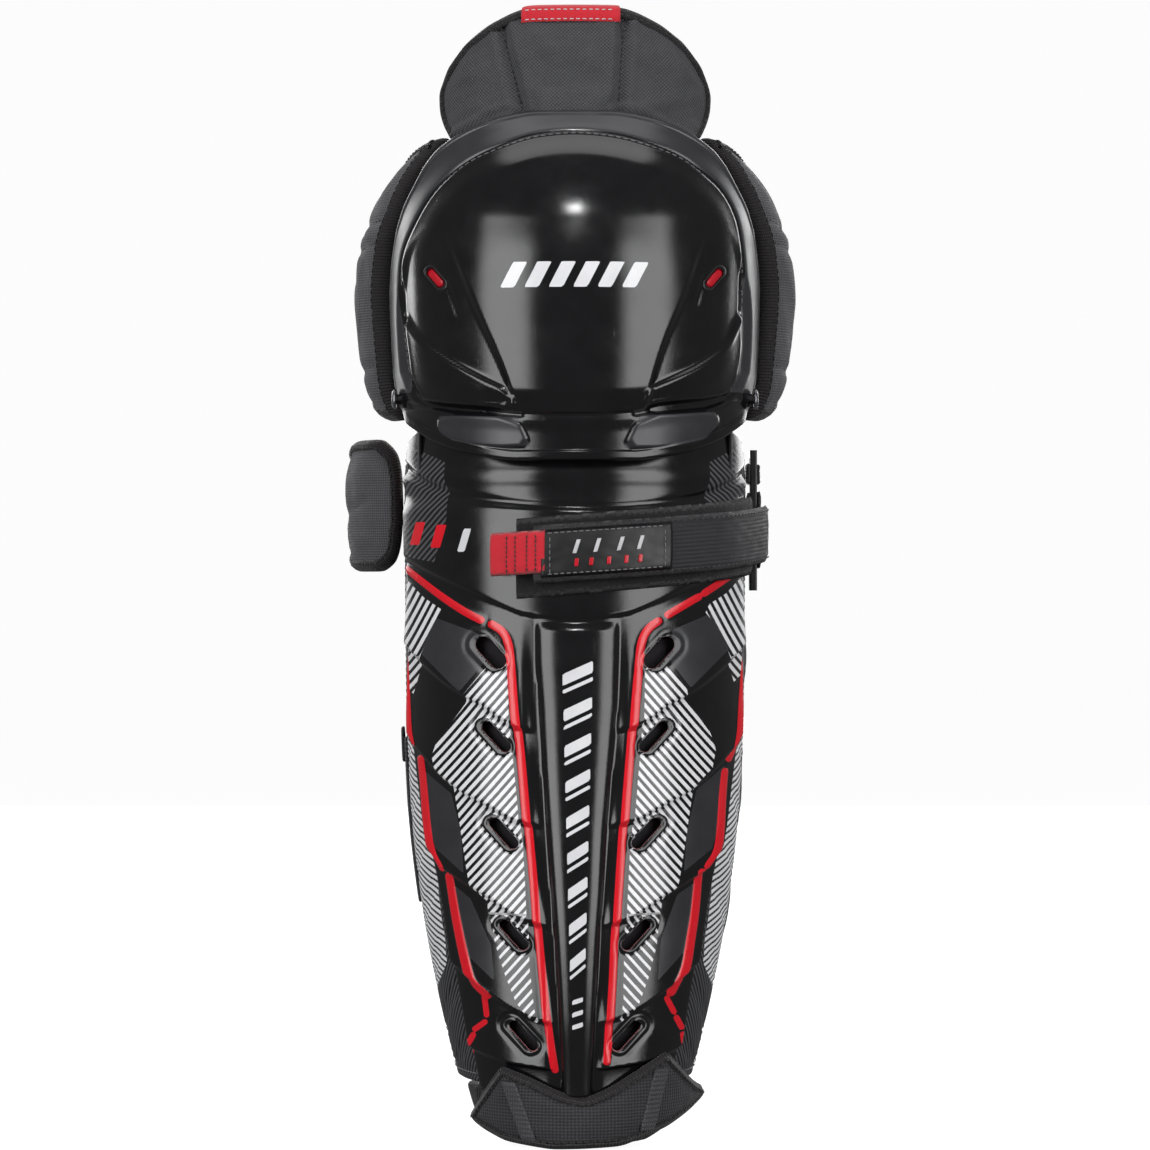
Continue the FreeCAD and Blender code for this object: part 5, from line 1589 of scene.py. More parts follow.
def make_calf_wing():
    patch = Patch(calf_wing, outline=CALF_WING_PAD, smoothing=3, middle=-74.0)
    channels = [np.array([(-26.0, -112.0), (26.0, -100.0)])]
    make_padded("calf_wing", patch, 7.5, WING_WEAVE, FINE_MESH, channels, seed=7.0, cap=0.9)
    slant = [(-46, -129), (-46, -113), (46, -94), (46, -110)]
    band_patch = patch.inset(6.5)
    ride(slant_band("calf_wing_red_band", patch, keep_line(slant, band_patch), 9.6, 10.9, RED_CLOTH),
         "calf_wing", "red_fabric", "calf_wing_stripe")


def keep_line(shape, patch):
    """The part of a flat shape that lies inside a patch, as a loop of points."""
    loop = resample(shape, 1.0, closed=True)
    gap = inside_of(loop[:, 0], loop[:, 1], patch.edge)
    centre = loop.mean(axis=0)
    for _ in range(60):
        outside = gap < 0
        if not outside.any():
            break
        loop[outside] += (centre - loop[outside]) * 0.04
        gap = inside_of(loop[:, 0], loop[:, 1], patch.edge)
    return loop


def slant_band(name, patch, loop, top, bottom, material):
    piece = copy.copy(patch)
    piece.edge = resample(counter_clockwise(loop), 1.2, closed=True)
    return slab(name, piece, 1.6, top, bottom, material)


# ---------------------------------------------------------------- thigh flap

def make_thigh():
    patch = Patch(thigh, front=both_halves(THIGH_EDGE), table=THIGH, smoothing=2)

    def relief(spot):
        z, d, x = spot["z"], spot["d"], spot["x"]
        height = 2.6 * ramp(d, 2.5, 18)
        left, _ = line_distance(x, z, curve([(-36, 127), (-30, 105), (-25, 84)], 2))
        right, _ = line_distance(x, z, curve([(24, 129), (22, 108), (21, 84)], 2))
        for gap in (left, right):
            height = height + groove(gap, 3.0, 2.6) + 0.9 * bump(gap - 5.0, 1.6)
        wedge = inside_of(x, z, [(-20, 96), (18, 96), (13, 78), (-16, 78)])
        height = height + 1.2 * ramp(wedge, -0.5, 2.0) * ramp(d, 3, 6)
        for line in ([(-64, 73), (-33, 89.5), (-26, 86)], [(17, 86), (24, 89.5), (58, 73)]):
            border, _ = line_distance(x, z, curve(line, 2, rounds=1))
            height = height + 1.1 * bump(border, 1.5) - 0.6 * bump(border - 3, 1.2)
        folds = 0.35 * ripple(x * 0.9 + z * 0.5, 3.3, 30) + 0.2 * ripple(z - 0.3 * x, 5.1, 17)
        return height + folds * ramp(d, 4, 14)
    body_patch = patch.inset(1.2)
    pad = slab("thigh_cover", body_patch, 1.5, 0, 9, WOVEN_BLACK, outer=relief)
    sewn = [(-36, 127), (-30, 105), (-25, 84)], [(24, 129), (22, 108), (21, 84)]
    sewn = [[(float(patch.s_of(x_angle(THIGH, x, z), z)), z) for x, z in line] for line in sewn]
    swell(pad, patch, (0, 4.5, 9), sewn)
    ride(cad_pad(pad), "thigh", "textured_fabric", "thigh_pad")
    for side, line in zip(("lateral", "medial"), sewn):
        seam = flat_stitches(f"thigh_channel_stitching_{side}", patch, curve(line, 1.0, rounds=1), 0.35,
                             BLACK_THREAD, length=2.4, gap=0.7, radius=0.42)
        ride(seam, "thigh", "textured_fabric")
    lining = slab("thigh_inner_cloth", body_patch, 2, 9.2, 10.5, MESH,
                  inner=lambda spot: 1.0 * ramp(spot["d"], 4, 20) + 0.2 * ripple(spot["z"], 4.0, 22))
    ride(lining, "thigh", "mesh_fabric", "thigh_lining")
    tape = binding("thigh_edge_tape", patch, 0.0, 10.5, 5.0, EDGE_TAPE, seed=1.3, back_width=9.0)
    ride(tape, "thigh", "binding_fabric", "thigh_binding")
    for name, below, inset, lift in (("outer", -1.05, 3.6, 0.2), ("inner", 11.6, 7.6, -0.2)):
        edge_seam(f"thigh_tape_stitching_{name}", patch, inset, below, "thigh", "binding_fabric", lift=lift)
    make_thigh_tab(patch)


def make_thigh_tab(patch):
    """The red tab folded over the flap's top edge, with its white stitches."""
    across = np.linspace(-25.5, 21.5, 40)
    section = [(7.4, -1.4), (7.2, -1.95), (4, -2.0), (1.2, -1.9), (-0.3, -0.6), (-1.25, 2.4), (-1.45, 5.2),
               (-1.25, 8.0), (-0.3, 11.0), (1.2, 12.4), (5.6, 12.5), (5.8, 11.9), (3.4, 11.2), (0.9, 10.4),
               (0.1, 8), (-0.3, 5.2), (0.1, 2.4), (1.0, -0.7), (4.0, -1.2)]
    top = patch.edge[:, 1].max()
    edge = patch.edge[patch.edge[:, 1] > top - 30]
    order = np.argsort(edge[:, 0])
    rim = np.interp(across, edge[order, 0], edge[order, 1])
    rings = []
    for inset, depth in section:
        rings.append(patch.place(across, rim - inset, depth))
    rings = np.stack(rings, axis=1)
    run = np.cumsum(np.full(len(across), 1.2))
    flat = np.stack([np.repeat(run, len(section)), np.tile(np.arange(len(section)) * 1.7, len(across)),
                     np.zeros(len(across) * len(section))], axis=1)
    tab = sweep("thigh_red_tab", rings, RED_CLOTH, {"flat": flat}, closed=False, ends=True)
    ride(tab, "thigh", "red_fabric", "thigh_tab")
    for k, (start, inset) in enumerate(((-24, 6.2), (-24, 1.6))):
        s = np.linspace(start, 20, 60)
        z = np.interp(s, edge[order, 0], edge[order, 1]) - inset
        ride(stitches(f"thigh_tab_stitching_{k + 1}", patch.place(s, z, -2.05), LIGHT_THREAD, length=2.0,
                      gap=1.1, radius=0.26, out=outward(patch, s, z, -2.05)), "thigh", "red_fabric")


# ---------------------------------------------------------------- straps

def strap(name, middle, width, wall, material, facing=None, crown=0.3, spacing=1.4, seed=1.0):
    """A flat strap along a path. Its width stands upright, or it turns in the plane that it faces."""
    path = curve(middle, spacing, rounds=2)
    forward = np.gradient(path, axis=0)
    forward /= np.linalg.norm(forward, axis=1)[:, None]
    if facing is None:
        upright = np.tile(np.array((0, 0, 1.0)), (len(path), 1))
    else:
        upright = np.cross(np.array(facing, float), forward)
    upright /= np.linalg.norm(upright, axis=1)[:, None]
    out = np.cross(forward, upright)
    out /= np.linalg.norm(out, axis=1)[:, None]
    share = np.linspace(-1, 1, 15)
    run = np.arange(len(path)) * spacing
    corners, flats = [], []
    for side in (1, -1):
        for part in share[::side]:
            fall = wall / 2 * math.sqrt(max(0, 1 - max(0, (abs(part) * width / 2 - (width / 2 - wall * 0.6))
                                                      / (wall * 0.6)) ** 2))
            lift = side * fall + crown * (1 - part**2) + 0.22 * ripple(run, seed + part, 26)
            corners.append(path + upright * part * width / 2 + out * np.atleast_1d(lift)[:, None])
            flats.append(np.stack([run, np.full(len(run), part * width / 2 + 100 * side), 0 * run], axis=1))
    rings, flat = np.stack(corners, axis=1), np.stack(flats, axis=1).reshape(-1, 3)
    return sweep(name, rings, material, {"flat": flat}, closed=False, ends=True), path, upright, out


RING_X, RING_FRONT_Y, RING_REAR_Y, RING_WIRE = 88.5, 5.0, 15.0, 3.6
FOLD_CLEARANCE = 0.6


FOLD_WALL = 1.4


def fold(centre_y, z):
    """Half a turn round one of the ring's bars, from the leg's side to the outside."""
    radius = RING_WIRE / 2 + FOLD_CLEARANCE + FOLD_WALL / 2
    return [(RING_X + radius * math.cos(a), centre_y + radius * math.sin(a), z)
            for a in np.radians(np.linspace(180, 0, 9))]


def climb(path, start, rise):
    """A flat path that rises evenly along its length."""
    p = np.array(path, float)
    run = distance_along(p)
    return [(x, y, start + rise * t) for (x, y), t in zip(p, run / run[-1])]


def round_shin(first, last, count, out, z=-127.0):
    """Points a distance out from the shin, as (x, y), at even angles."""
    return [(float(x), float(y)) for x, y, _ in (shin(np.array(angle), np.array(z), -out - STRAP_LOFT)
                                                 for angle in np.linspace(first, last, count))]


def rising(path, start, rise):
    """A flat path that rises by the same amount at each of its points."""
    return [(x, y, start + rise * t) for (x, y), t in zip(path, np.linspace(0, 1, len(path)))]


STRAP_LOFT = 1.5


def make_lock_strap():
    whole = round_shin(-18, 73, 12, 4.3, -125.0) + [(86.3, -18), (85.8, -8)]
    whole += [(x, y) for x, y, _ in fold(RING_FRONT_Y, 0)] + [(91.6, 3.0)]
    points = climb(whole, -130.5, 15)
    loop, _, _, _ = strap("lock_strap_loop_layer", points, 38, 1.5, LOOP, seed=2.0)
    ride(loop, "shin", "touch_loop", "lock_strap_loop")

    web = round_shin(-12, 56, 12, 8.6, -125.0) + [(85.6, -38), (91.2, -22), (94.0, -8), (94.2, 1.5)]
    points = climb(web, -128.5, 11.5)
    item, path, upright, out = strap("lock_strap_webbing", points, 27.5, 1.9, STRAP, crown=0.6, seed=3.0)
    ride(item, "lock_strap", "strap_webbing", "lock_strap_web")
    for k, share in enumerate((-11.6, 11.6)):
        line = path + upright * share + out * 1.35
        seam = stitches(f"lock_strap_stitching_{k + 1}", line[2:-2], BLACK_THREAD, out=out[2:-2], length=2.6)
        ride(seam, "lock_strap", "strap_webbing")
    points = rising(round_shin(-10, 32, 7, 7.2), -129, 5)
    item, _, _, _ = strap("lock_strap_hook_tape", points, 25, 1.0, HOOK, crown=0.3)
    ride(item, "lock_strap", "touch_hook", "lock_strap_touch_tape")
    make_lock_label()
    make_lock_tab()


def stitches_across(name, loft, station, reach, count, base, crown_reach, slot_name, material, **options):
    """Stitches across a strap at one station of its path, on its crowned face."""
    path, upright, out = loft
    rows = np.linspace(-reach, reach, count)
    height = base + 0.45 * (1 - (rows / crown_reach) ** 2)
    line = path[station] + upright[station] * rows[:, None] + out[station] * height[:, None]
    seam = stitches(name, line, material, out=np.tile(out[station], (count, 1)), **options)
    ride(seam, "lock_strap", slot_name)


def make_lock_label():
    points = rising(round_shin(-9.5, 28.5, 8, 10.6), -128.3, 4.2)
    item, *loft = strap("lock_strap_label_plate", points, 22.5, 1.5, LABEL, crown=0.5, seed=4.0)
    path, upright, out = loft
    ride(item, "lock_strap", "label_plate", "lock_strap_label")
    for k, share in enumerate((-9.7, 9.7)):
        line = path + upright * share + out
        seam = stitches(f"lock_label_stitching_{k + 1}", line[2:-2], GREY_THREAD, out=out[2:-2], length=2.0,
                        gap=1.0, radius=0.26)
        ride(seam, "lock_strap", "label_plate")
    for k, station in enumerate((3, len(path) - 4)):
        stitches_across(f"lock_label_end_stitching_{k + 1}", loft, station, 9.7, 20, 1.05, 11.2,
                        "label_plate", GREY_THREAD, length=2.0, gap=1.0, radius=0.26)
    for k in range(4):
        make_bar(f"lock_label_mark_{k + 1}", loft, 0.26 + 0.16 * k, 2.6, 3.2, WHITE_PRINT)
    for k in range(5):
        make_bar(f"lock_label_dash_{k + 1}", loft, 0.26 + 0.12 * k, -4.9, 1.8, RED_PLASTIC)


def make_bar(name, loft, share, height, reach, material):
    """A small raised slanted bar, where the real label carries lettering."""
    path, upright, out = loft
    station = int(len(path) * share)
    tangent = path[station + 1] - path[station - 1]
    tangent /= np.linalg.norm(tangent)
    centre = path[station] + out[station] * 1.3 + upright[station] * height
    lean = 0.62 * reach
    corners = [(-lean, -reach), (1.9 - lean, -reach), (lean, reach), (lean - 1.9, reach)]
    rings = []
    for lift, grow in ((-0.2, 1.0), (0.1, 1.0), (0.25, 0.95), (0.3, 0.8)):
        rings.append([centre + tangent * u * grow + upright[station] * v * grow + out[station] * lift
                      for u, v in corners])
    ride(sweep(name, np.array(rings), material, closed=False, ends=True), "lock_strap", "label_white")


def make_lock_tab():
    points = rising(round_shin(-24.5, -8.5, 5, 10.4), -128.6, 1.6)
    item, *loft = strap("lock_strap_red_tab", points, 20.5, 2.2, RED_CLOTH, crown=0.5, seed=5.0)
    ride(item, "lock_strap", "red_fabric", "lock_strap_tab")
    for k in range(4):
        station = int(1 + (len(loft[0]) - 3) * (0.3 + 0.21 * k))
        stitches_across(f"lock_tab_stitching_{k + 1}", loft, station, 9.2, 24, 1.15, 10.2, "red_fabric",
                        BLACK_THREAD, length=1.7, gap=0.5, radius=0.36)


def make_ring_tab():
    z = -88.0
    path = [(85.5, -9, z), (85.5, 0, z), (85.4, 9, z), *fold(RING_REAR_Y, z), (91.5, 13, z), (91.3, 11.2, z)]
    item, _, _, _ = strap("ring_tab_web", path, 10, 1.4, STRAP, crown=0.1, spacing=1.0)
    ride(item, "shin", "webbing", "ring_tab")


def make_pull_loop():
    """A narrow webbing loop: down one side of a V and up the other."""
    y = -40.7
    points = [(17.0, y, 131), (14.5, y, 127), (8.5, y, 113), (4.2, y, 104.5), (1.0, y, 101.6),
              (-2.4, y, 104.0), (-7.5, y, 113), (-13.0, y, 127), (-15.0, y, 131)]
    item, _, _, _ = strap("pull_loop_web", points, 7, 1.5, STRAP, facing=(0, -1, 0), crown=0.0, spacing=1.0)
    return item


# ---------------------------------------------------------------- removable liner

def banded_cloth(name):
    """The liner's side panel: dark cloth with lighter raised bands where the band field is positive."""
    m = Shader(name, 0.75, Sheen_Weight=0.3, Sheen_Roughness=0.5, Specular_IOR_Level=0.3)
    flat = m.flat()
    x, y, _ = m.split(flat)
    threads = m.math("MULTIPLY", m.wave(x, 1.2), m.wave(y, 1.2))
    patchy = m.noise(flat, 12, 4)
    shade = m.total(m.scaled(m.math("MULTIPLY_ADD", threads, 0.5, 0.5), 0.6), m.scaled(patchy, 0.4))
    colour = m.mix(m.above(m.field("band"), 0, 0.12), m.mix(shade, rgb(44, 38, 40), rgb(76, 67, 70)),
                   m.mix(shade, rgb(78, 78, 80), rgb(120, 120, 123)))
    height = m.total(m.scaled(threads, 0.1), m.scaled(patchy, 0.3))
    return m.finish(colour, height, m.range(patchy, 0.3, 0.7, 0.68, 0.82))


PANEL_BANDED = banded_cloth("liner_panel_banded")
OUTER_BAND = [(67, -173), (72, -190), (76, -215), (78, -235), (77, -250), (72, -280), (65, -305), (57, -330),
              (50, -355), (42, -375)]
INNER_BAND = [(57, -165), (62, -185), (65, -215), (66, -235), (62, -260), (55, -280), (48, -300), (40, -320),
              (33, -340)]
PANEL_GROOVES = [[(51, -183), (40, -190)], [(55, -205), (40, -217)], [(55, -228), (38, -240)],
                 [(52, -258), (37, -268)], [(50, -282), (35, -292)]]
LINER_WRINKLES = [[(-30, -140), (-33, -200), (-28, -270), (-22, -330)], [(6, -130), (2, -190), (5, -250)],
                  [(-48, -230), (-46, -290), (-38, -345)], [(16, -170), (13, -230), (15, -300)],
                  [(-12, -160), (-14, -230), (-9, -300), (-6, -350)]]
LINER_SEAM = [(-10, -245), (-4, -265), (5, -285), (13, -303), (20, -320)]


def cover_relief(spot):
    x, z, d = spot["x"], spot["z"], spot["d"]
    height = 1.5 * ramp(d, 2, 20) + 0.5 * ripple(x * 1.3 + 0.12 * z, 2.2, 38) * ramp(d, 3, 14)
    for k, line in enumerate(LINER_WRINKLES):
        gap, _ = line_distance(x, z, curve(line, 3))
        height = height - (0.9 + 0.2 * math.sin(k)) * bump(gap, 2.6) + 0.5 * bump(gap - 6, 3.0)
    seam, _ = line_distance(x, z, curve(LINER_SEAM, 2))
    return height - 1.1 * bump(seam, 1.4)


def panel_relief(spot):
    x, z = spot["x"], spot["z"]
    outer, inner = band_fields(x, z)
    height = 0.8 * ramp(spot["d"], 1, 8) + 1.0 * ramp(np.maximum(outer, inner), -0.4, 1.4)
    for line in PANEL_GROOVES:
        height = height - 1.2 * bump(line_distance(x, z, line)[0], 1.5)
    return height


def band_fields(x, z):
    outer, _ = line_distance(x, z, curve(OUTER_BAND, 2))
    inner, _ = line_distance(x, z, curve(INNER_BAND, 2))
    wide = np.interp(z, [-340, -300, -200, -165], [3.6, 3.4, 2.8, 2.2])
    return 1.9 - outer, wide - inner


def paint_field(item, key, function):
    """Fills a float field over a finished mesh from its points' x and z, in mm."""
    mesh = item.data
    co = np.empty(len(mesh.vertices) * 3)
    mesh.vertices.foreach_get("co", co)
    co = co.reshape(-1, 3) / MM
    values = function(co[:, 0], co[:, 2]).astype(np.float32)
    mesh.attributes.new(key, "FLOAT", "POINT").data.foreach_set("value", values)
    return item


def make_liner():
    patch = Patch(liner, outline=LINER_SHIN, smoothing=3)
    foam = slab("liner_foam_layer", patch.inset(2), 3, 0, 7.5, FOAM)
    ride(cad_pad(foam), "liner", "foam", "liner_foam")
    cover_patch = Patch(liner, outline=LINER_COVER, smoothing=4)
    cover = slab("liner_red_cover", cover_patch, 1.9, 7.7, 9.4, LINING_RED, inner=cover_relief)
    seam_line = curve(LINER_SEAM, 1.5)
    sewn = [(float(cover_patch.s_of(x_angle(LINER, x, z), z)), z) for x, z in seam_line]
    swell(cover, cover_patch, (0, 4, 7.5), [sewn], cap=1.8, side=-1, stuffing=foam)
    ride(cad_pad(cover), "liner", "liner_red", "liner_cover")
    panel_patch = Patch(liner, outline=LINER_PANEL, smoothing=4, middle=0)
    panel = slab("liner_side_panel_cloth", panel_patch, 1.5, 7.7, 10.0, PANEL_BANDED, inner=panel_relief)
    paint_field(panel, "band", lambda x, z: np.maximum(*band_fields(x, z)))
    ride(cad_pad(panel), "liner", "liner_panel", "liner_side_panel")
    edge_seam("liner_panel_stitching", panel_patch, 1.4, 10.6, "liner", "liner_panel", lift=-0.2)
    x, z = seam_line.T
    s = patch.s_of(x_angle(LINER, x, z), z)
    seam = stitches("liner_seam_stitching", patch.place(s, z, 10.4), THREAD, out=-outward(patch, s, z, 10.4))
    ride(seam, "liner", "liner_red")
    tape = binding("liner_edge_tape", patch, 0.0, 9.4, 5.0, EDGE_TAPE, seed=3.1, back_width=9.0,
                   keep=lambda line: line[:, 1] < -81.3)
    ride(tape, "liner", "binding_fabric", "liner_binding")
    edge_seam("liner_tape_stitching", patch, 7.6, 10.5, "liner", "binding_fabric", lift=-0.2)
    for k, height in enumerate((-135, -240, -345)):
        strip = Patch(liner, outline=symmetric([(height - 15, 24), (height + 15, 24)]), smoothing=3)
        hook = slab(f"liner_touch_tape_{k + 1}", strip, 2.5, -1.5, -0.4, LOOP)
        ride(hook, "liner", "touch_loop", "liner_touch_tape")
    make_liner_knee()
    make_liner_neck()


def make_liner_neck():
    """The red cloth that runs on from the liner's shin part to its knee part."""
    rows = [(-94, -34.5, 34.5), (-86, -36.5, 36.5), (-78, -38.5, 38.5), (-71, -41, 41)]
    patch = Patch(liner, outline=rows, smoothing=2)
    neck = slab("liner_neck_cloth", patch, 1.5, 9.0, 10.9, LINING_RED, edge_round=0.5,
                inner=lambda spot: 0.5 * ripple(spot["x"] * 1.2, 4.1, 24) - 0.7 * (1 - ramp(spot["d"], 0, 4)))
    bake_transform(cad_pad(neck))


HOLE = (3.0, -34.0, 28.0, 22.0)
DONUT = (3.0, -34.0, 45.0, 50.0)


def hole_cutter(name, half_width, half_height):
    turn = np.linspace(0, 2 * math.pi, 56, endpoint=False)
    rings = [np.stack([HOLE[0] + half_width * np.cos(turn), np.full(56, y),
                       HOLE[1] + half_height * np.sin(turn)], axis=1) for y in (CUT_FROM_Y, CUT_TO_Y)]
    return sweep(name, np.array(rings), [], closed=False, ends=True)


def make_liner_knee():
    patch = Patch(liner, outline=LINER_KNEE, smoothing=4)
    foam = slab("liner_knee_foam_layer", patch.inset(2), 3, 0, 7.5, FOAM)
    cut_away(foam, hole_cutter("foam_hole", 28, 22))
    ride(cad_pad(foam), "liner_knee", "foam", "liner_knee_foam")

    def relief(spot):
        gathers = 0.45 * ripple(spot["x"] * 1.1 + 0.3 * spot["z"], 6.2, 30)
        return 1.3 * ramp(spot["d"], 2, 18) + gathers * ramp(spot["d"], 4, 14)
    cover = slab("liner_knee_red_cover", patch.inset(1.5), 1.9, 7.7, 9.4, LINING_RED, inner=relief)
    swell(cover, patch, (0, 4, 7.5), cap=1.6, side=-1, stuffing=foam)
    cut_away(cover, hole_cutter("cover_hole", 28, 22))
    ride(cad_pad(cover), "liner_knee", "liner_red", "liner_knee_cover")
    tape = binding("liner_knee_edge_tape", patch, 0.0, 9.4, 5.0, EDGE_TAPE, seed=4.4, back_width=9.5,
                   keep=lambda line: line[:, 1] > -78.7)
    ride(tape, "liner_knee", "binding_fabric", "liner_knee_binding")
    edge_seam("liner_knee_tape_stitching", patch, 8.0, 10.5, "liner_knee", "binding_fabric", lift=-0.2)
    ride(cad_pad(ring_pad()), "liner_knee", "liner_red", "knee_ring_pad")
    make_knee_mesh()
    make_liner_label()


def ring_pad():
    """The padded ring round the knee hole: crowned, with gathers that run out from the hole."""
    count = 150
    turn = np.linspace(0, 2 * math.pi, count, endpoint=False)
    x0, z0, a0, b0 = HOLE
    _, _, a1, b1 = DONUT
    shares = np.concatenate([np.linspace(0, 1, 17), np.linspace(1, 0, 7)[1:-1]])
    rings, flats = [], []
    for k, share in enumerate(shares):
        on_back = k >= 17
        a, b = a0 - 1.5 + (a1 - a0 + 1.5) * share, b0 - 1.5 + (b1 - b0 + 1.5) * share
        x, z = x0 + a * np.cos(turn), z0 + b * np.sin(turn)
        z = np.where(z < -77, -77 + (z + 77) * 0.05, z)
        gathers = 0.55 * np.sin(turn * 22 + 0.8 * np.sin(3 * turn)) * (1 - share) ** 1.2
        gathers = gathers + 0.25 * ripple(turn * 30, 5.0, 9.0)
        rise = 3.4 * math.sin(math.pi * min(max(share, 0.0), 1.0)) ** 0.55
        below = 10.3 if on_back else 10.7 + rise + gathers * min(1, 4 * share + 0.2) * (1 if share < 1 else 0)
        rings.append(front_point(LINER, x, z, below))
        flats.append(np.stack([turn * 36, np.full(count, share * 24), 0 * turn], axis=1))
    rings, flat = np.stack(rings, axis=1), np.stack(flats, axis=1).reshape(-1, 3)
    return sweep("knee_ring_cushion", rings, LINING_RED, {"flat": flat})


def make_knee_mesh():
    turn = np.linspace(0, 2 * math.pi, 60, endpoint=False)
    rings = []
    for share, below in ((0.02, 1.0), (0.5, 1.0), (0.99, 1.0), (1.0, 1.8), (0.99, 2.6), (0.9, 3.0),
                         (0.7, 3.5), (0.45, 3.8), (0.2, 3.9), (0.02, 3.9)):
        x = HOLE[0] + (HOLE[2] - 0.3) * share * np.cos(turn)
        z = HOLE[1] + (HOLE[3] - 0.3) * share * np.sin(turn)
        rings.append(front_point(LINER, x, z, below + 0.15 * np.sin(turn * 5)))
    rings = np.array(rings)
    item = sweep("knee_vent_mesh", rings, MESH, drawn_flat(rings), closed=False, ends=True)
    ride(item, "liner_knee", "mesh_fabric", "knee_mesh")


def make_liner_label():
    rows = [(49, -47.5, -33.5), (58.5, -42.5, -31.5)]
    patch = Patch(liner, outline=rows, smoothing=3, middle=-39)
    label = slab("liner_label_patch", patch, 1.2, 9.9, 11.4, LABEL)
    ride(label, "liner_knee", "label_plate", "liner_label")
    ride(flat_stitches("liner_label_stitching", patch, offset_line(patch, 0.9), 11.5, BLACK_THREAD,
                       lift=-0.2), "liner_knee", "label_plate")
    piece = copy.copy(patch)
    centre = patch.edge.mean(axis=0)
    piece.edge = resample([centre + p for p in ((-3.2, -1.6), (0.4, -1.6), (3.2, 1.6), (-0.4, 1.6))], 0.5,
                          closed=True)
    ride(slab("liner_label_mark", piece, 0.8, 11.3, 11.8, WHITE_PRINT), "liner_knee", "label_white")


# ---------------------------------------------------------------- ankle flap

ANKLE_EDGE = [(-32, -373.5), (-20, -378), (-6, -385), (4, -388), (14, -383.5), (26, -376), (40, -367),
              (45, -374), (51, -383), (58, -392), (57, -395), (40, -404), (20, -411), (-10, -412),
              (-30, -409.5), (-40, -405), (-46, -401), (-41, -390), (-37, -382)]


ANKLE_BAND_WIDTH = 6


def make_ankle():
    patch = Patch(shin, front=ANKLE_EDGE, table=SHIN, smoothing=1)
    patch.by_columns = True

    def relief(spot):
        return 1.0 * ramp(spot["d"], 2, 9) + 0.2 * ripple(spot["s"], 7.0, 19)
    face = slab("ankle_face_cloth", patch.inset(0.8), 1.3, -7.0, -4.4, ANKLE_WEAVE, outer=relief)
    ride(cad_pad(face), "ankle_flap", "textured_fabric", "ankle_face")
    tape = binding("ankle_edge_tape", patch, -7.0, -4.4, 4.2, EDGE_TAPE, seed=5.0, proud=0.9)
    ride(tape, "ankle_flap", "textured_fabric", "ankle_face")
    edge_seam("ankle_tape_stitching", patch, 3.0, -8.05, "ankle_flap", "textured_fabric")
    half = ANKLE_BAND_WIDTH / 2
    for name, (x0, z0), (x1, z1) in (("lateral", (-28, -380.5), (-19, -408.5)),
                                     ("medial", (36.5, -375), (30, -404.5))):
        corners = [(x0 - half, z0), (x0 + half, z0), (x1 + half, z1), (x1 - half, z1)]
        outline = resample(corners, 1.0, closed=True)
        loop = np.array([(float(patch.s_of(x_angle(SHIN, x, z), z)), z) for x, z in outline])
        strip = slant_band(f"ankle_band_{name}", patch, loop, -9.1, -7.2, STRAP_GREY)
        ride(strip, "ankle_flap", "textured_fabric")
    foam_rows = [(-404, -38, 38), (-398, -42, 46), (-391, -41, 50)]
    edge = [(last, z) for z, first, last in foam_rows] + [(first, z) for z, first, last in foam_rows[::-1]]
    foam = slab("ankle_foam_layer", Patch(shin, front=edge, table=SHIN, smoothing=4), 2.5, -3.4, 1.1, FOAM)
    ride(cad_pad(foam), "ankle_flap", "foam", "ankle_foam")


# ---------------------------------------------------------------- CAD-shaped parts, floor, light and camera

def repaint(node, material):
    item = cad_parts[node]
    item.data.materials.clear()
    item.data.materials.append(material)


LIGHT_AIM = (0, 0, -0.12)
# name, place and size in metres, and watts
LIGHTS = [("left_softbox", (-1.4, -1.45, 0.05), (1.1, 2.1), 37),
          ("right_softbox", (1.45, -1.4, 0.05), (1.1, 2.1), 34),
          ("spot_light", (0.0, -1.25, 1.1), (0.14, 0.14), 5),
          ("top_light", (0.0, 0.1, 1.7), (1.8, 0.9), 9),
          ("back_softbox", (0.0, 2.6, 0.5), (1.6, 1.8), 62),
          ("back_left_light", (-1.3, 1.9, 0.6), (0.8, 1.4), 13),
          ("back_right_light", (1.3, 1.9, 0.6), (0.8, 1.4), 13)]


def add_area(name, place, size, power):
    lamp = bpy.data.lights.new(name, "AREA")
    lamp.shape = "RECTANGLE"
    lamp.energy = power
    lamp.size, lamp.size_y = size
    item = bpy.data.objects.new(name, lamp)
    item.location = place
    item.rotation_euler = (Vector(LIGHT_AIM) - Vector(place)).to_track_quat("-Z", "Y").to_euler()
    bpy.context.scene.collection.objects.link(item)


PAPER_GLOW = 0.94
WORLD_STRENGTH = 0.16


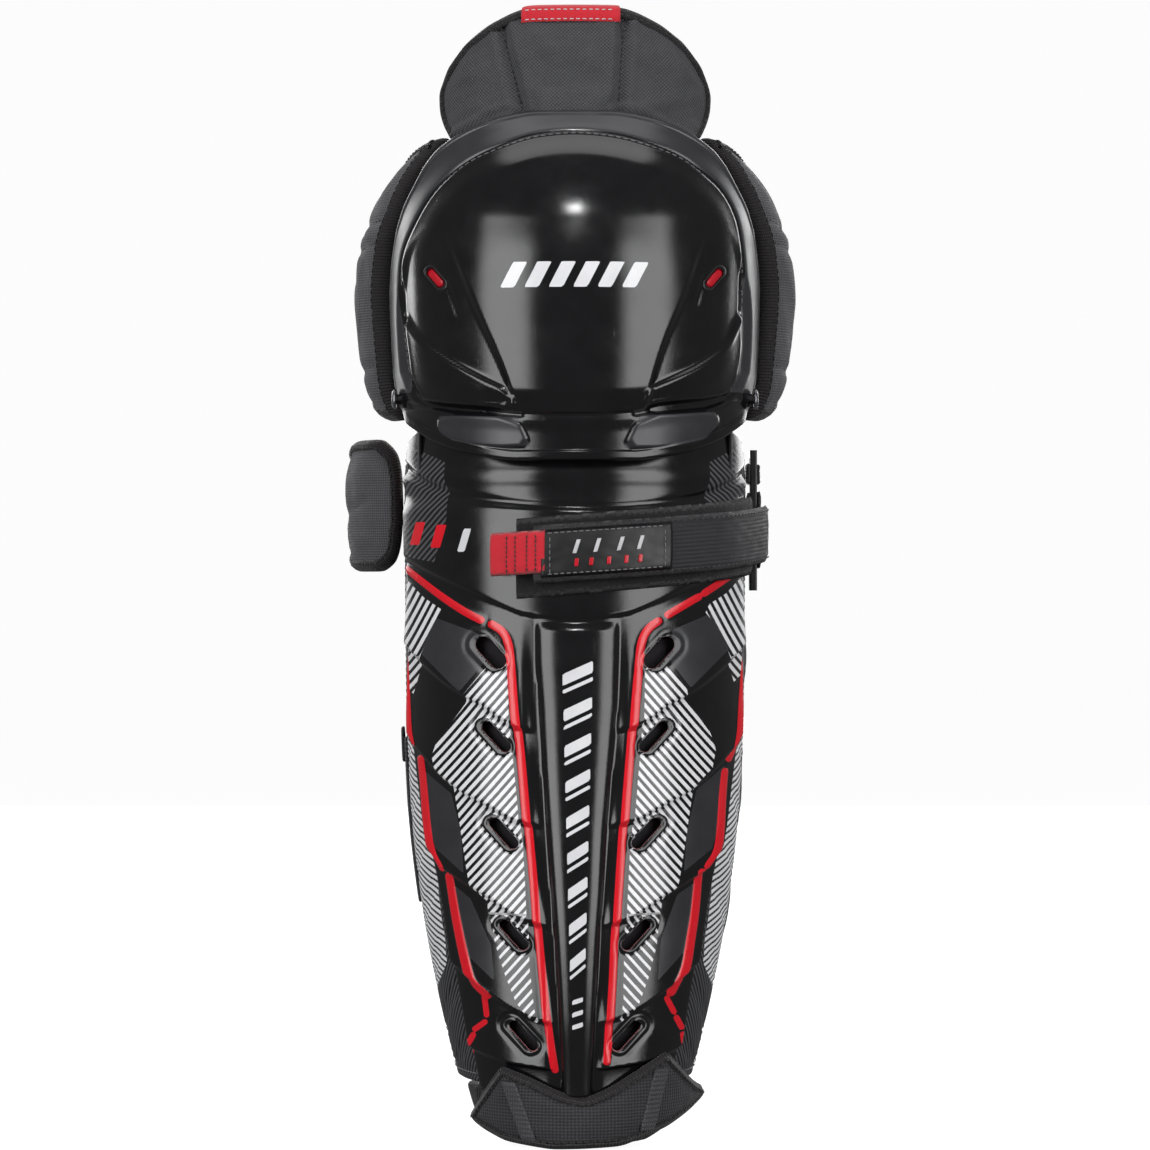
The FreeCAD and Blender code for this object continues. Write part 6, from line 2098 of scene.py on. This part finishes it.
def make_stage(low):
    """A pale round floor that curves up into a far wall. The object neither mirrors it nor is lit by it."""
    profile = curve([(0.001, 0.0), (3.8, 0.0), (4.3, 0.05), (4.7, 0.3), (4.9, 0.9), (4.9, 4.5)], 0.15,
                    rounds=2)
    turn = np.linspace(0, 2 * math.pi, 97)
    points = np.array([[(r * math.cos(a), r * math.sin(a), low + z) for a in turn] for r, z in profile]) / MM
    m = Shader("stage_paper", 0.9, Emission_Color=(1, 1, 1, 1), Emission_Strength=PAPER_GLOW)
    place = m.solid()
    paper = m.noise(place, 60, 3)
    m.finish(m.mix(paper, (0.10, 0.10, 0.10, 1), (0.12, 0.12, 0.12, 1)),
             m.scaled(m.noise(place, 1.5, 2), 0.02), m.range(paper, 0.3, 0.7, 0.85, 0.95))
    floor = make_mesh("studio_floor", points.reshape(-1, 3), grid_faces(len(profile), len(turn)), m.material)
    floor.visible_glossy = False
    floor.visible_diffuse = False
    world = bpy.data.worlds.new("studio_world")
    world.use_nodes = True
    world.node_tree.nodes["Background"].inputs["Color"].default_value = (1, 1, 1, 1)
    world.node_tree.nodes["Background"].inputs["Strength"].default_value = WORLD_STRENGTH
    bpy.context.scene.world = world
    bpy.context.scene.view_settings.view_transform = "Standard"
    for name, place, size, power in LIGHTS:
        add_area(name, place, size, power)


CAMERA_LENS = 129
CAMERA_SENSOR = 36
CAMERA_DISTANCE = 2.04


def make_camera(low, high):
    """A long lens square to the guard's front, halfway up it."""
    data = bpy.data.cameras.new("camera")
    data.sensor_width = CAMERA_SENSOR
    data.lens = CAMERA_LENS
    camera = bpy.data.objects.new("camera", data)
    camera.location = (0.0, -CAMERA_DISTANCE, (low + high) / 2)
    camera.rotation_euler = (math.radians(90), 0, 0)
    data.clip_start, data.clip_end = 0.1, 20
    bpy.context.scene.collection.objects.link(camera)
    bpy.context.scene.camera = camera


make_shin_cap()
make_rivets()
make_side_panels()
make_shin_layers()
make_knee_cap()
make_knee_wings()
make_gussets()
make_wraps()
make_calf_wing()
make_thigh()
ride(make_pull_loop(), "pull_loop", "webbing", "pull_loop")
make_lock_strap()
make_ring_tab()
make_liner()
make_ankle()
repaint("strap_ring", plain_plastic("ring_nylon_black", rgb(24, 24, 26), rgb(40, 40, 43), 0.3))

box_low, box_high = cad_box
make_stage(box_low[2] - 0.0005)
make_camera(box_low[2], box_high[2])
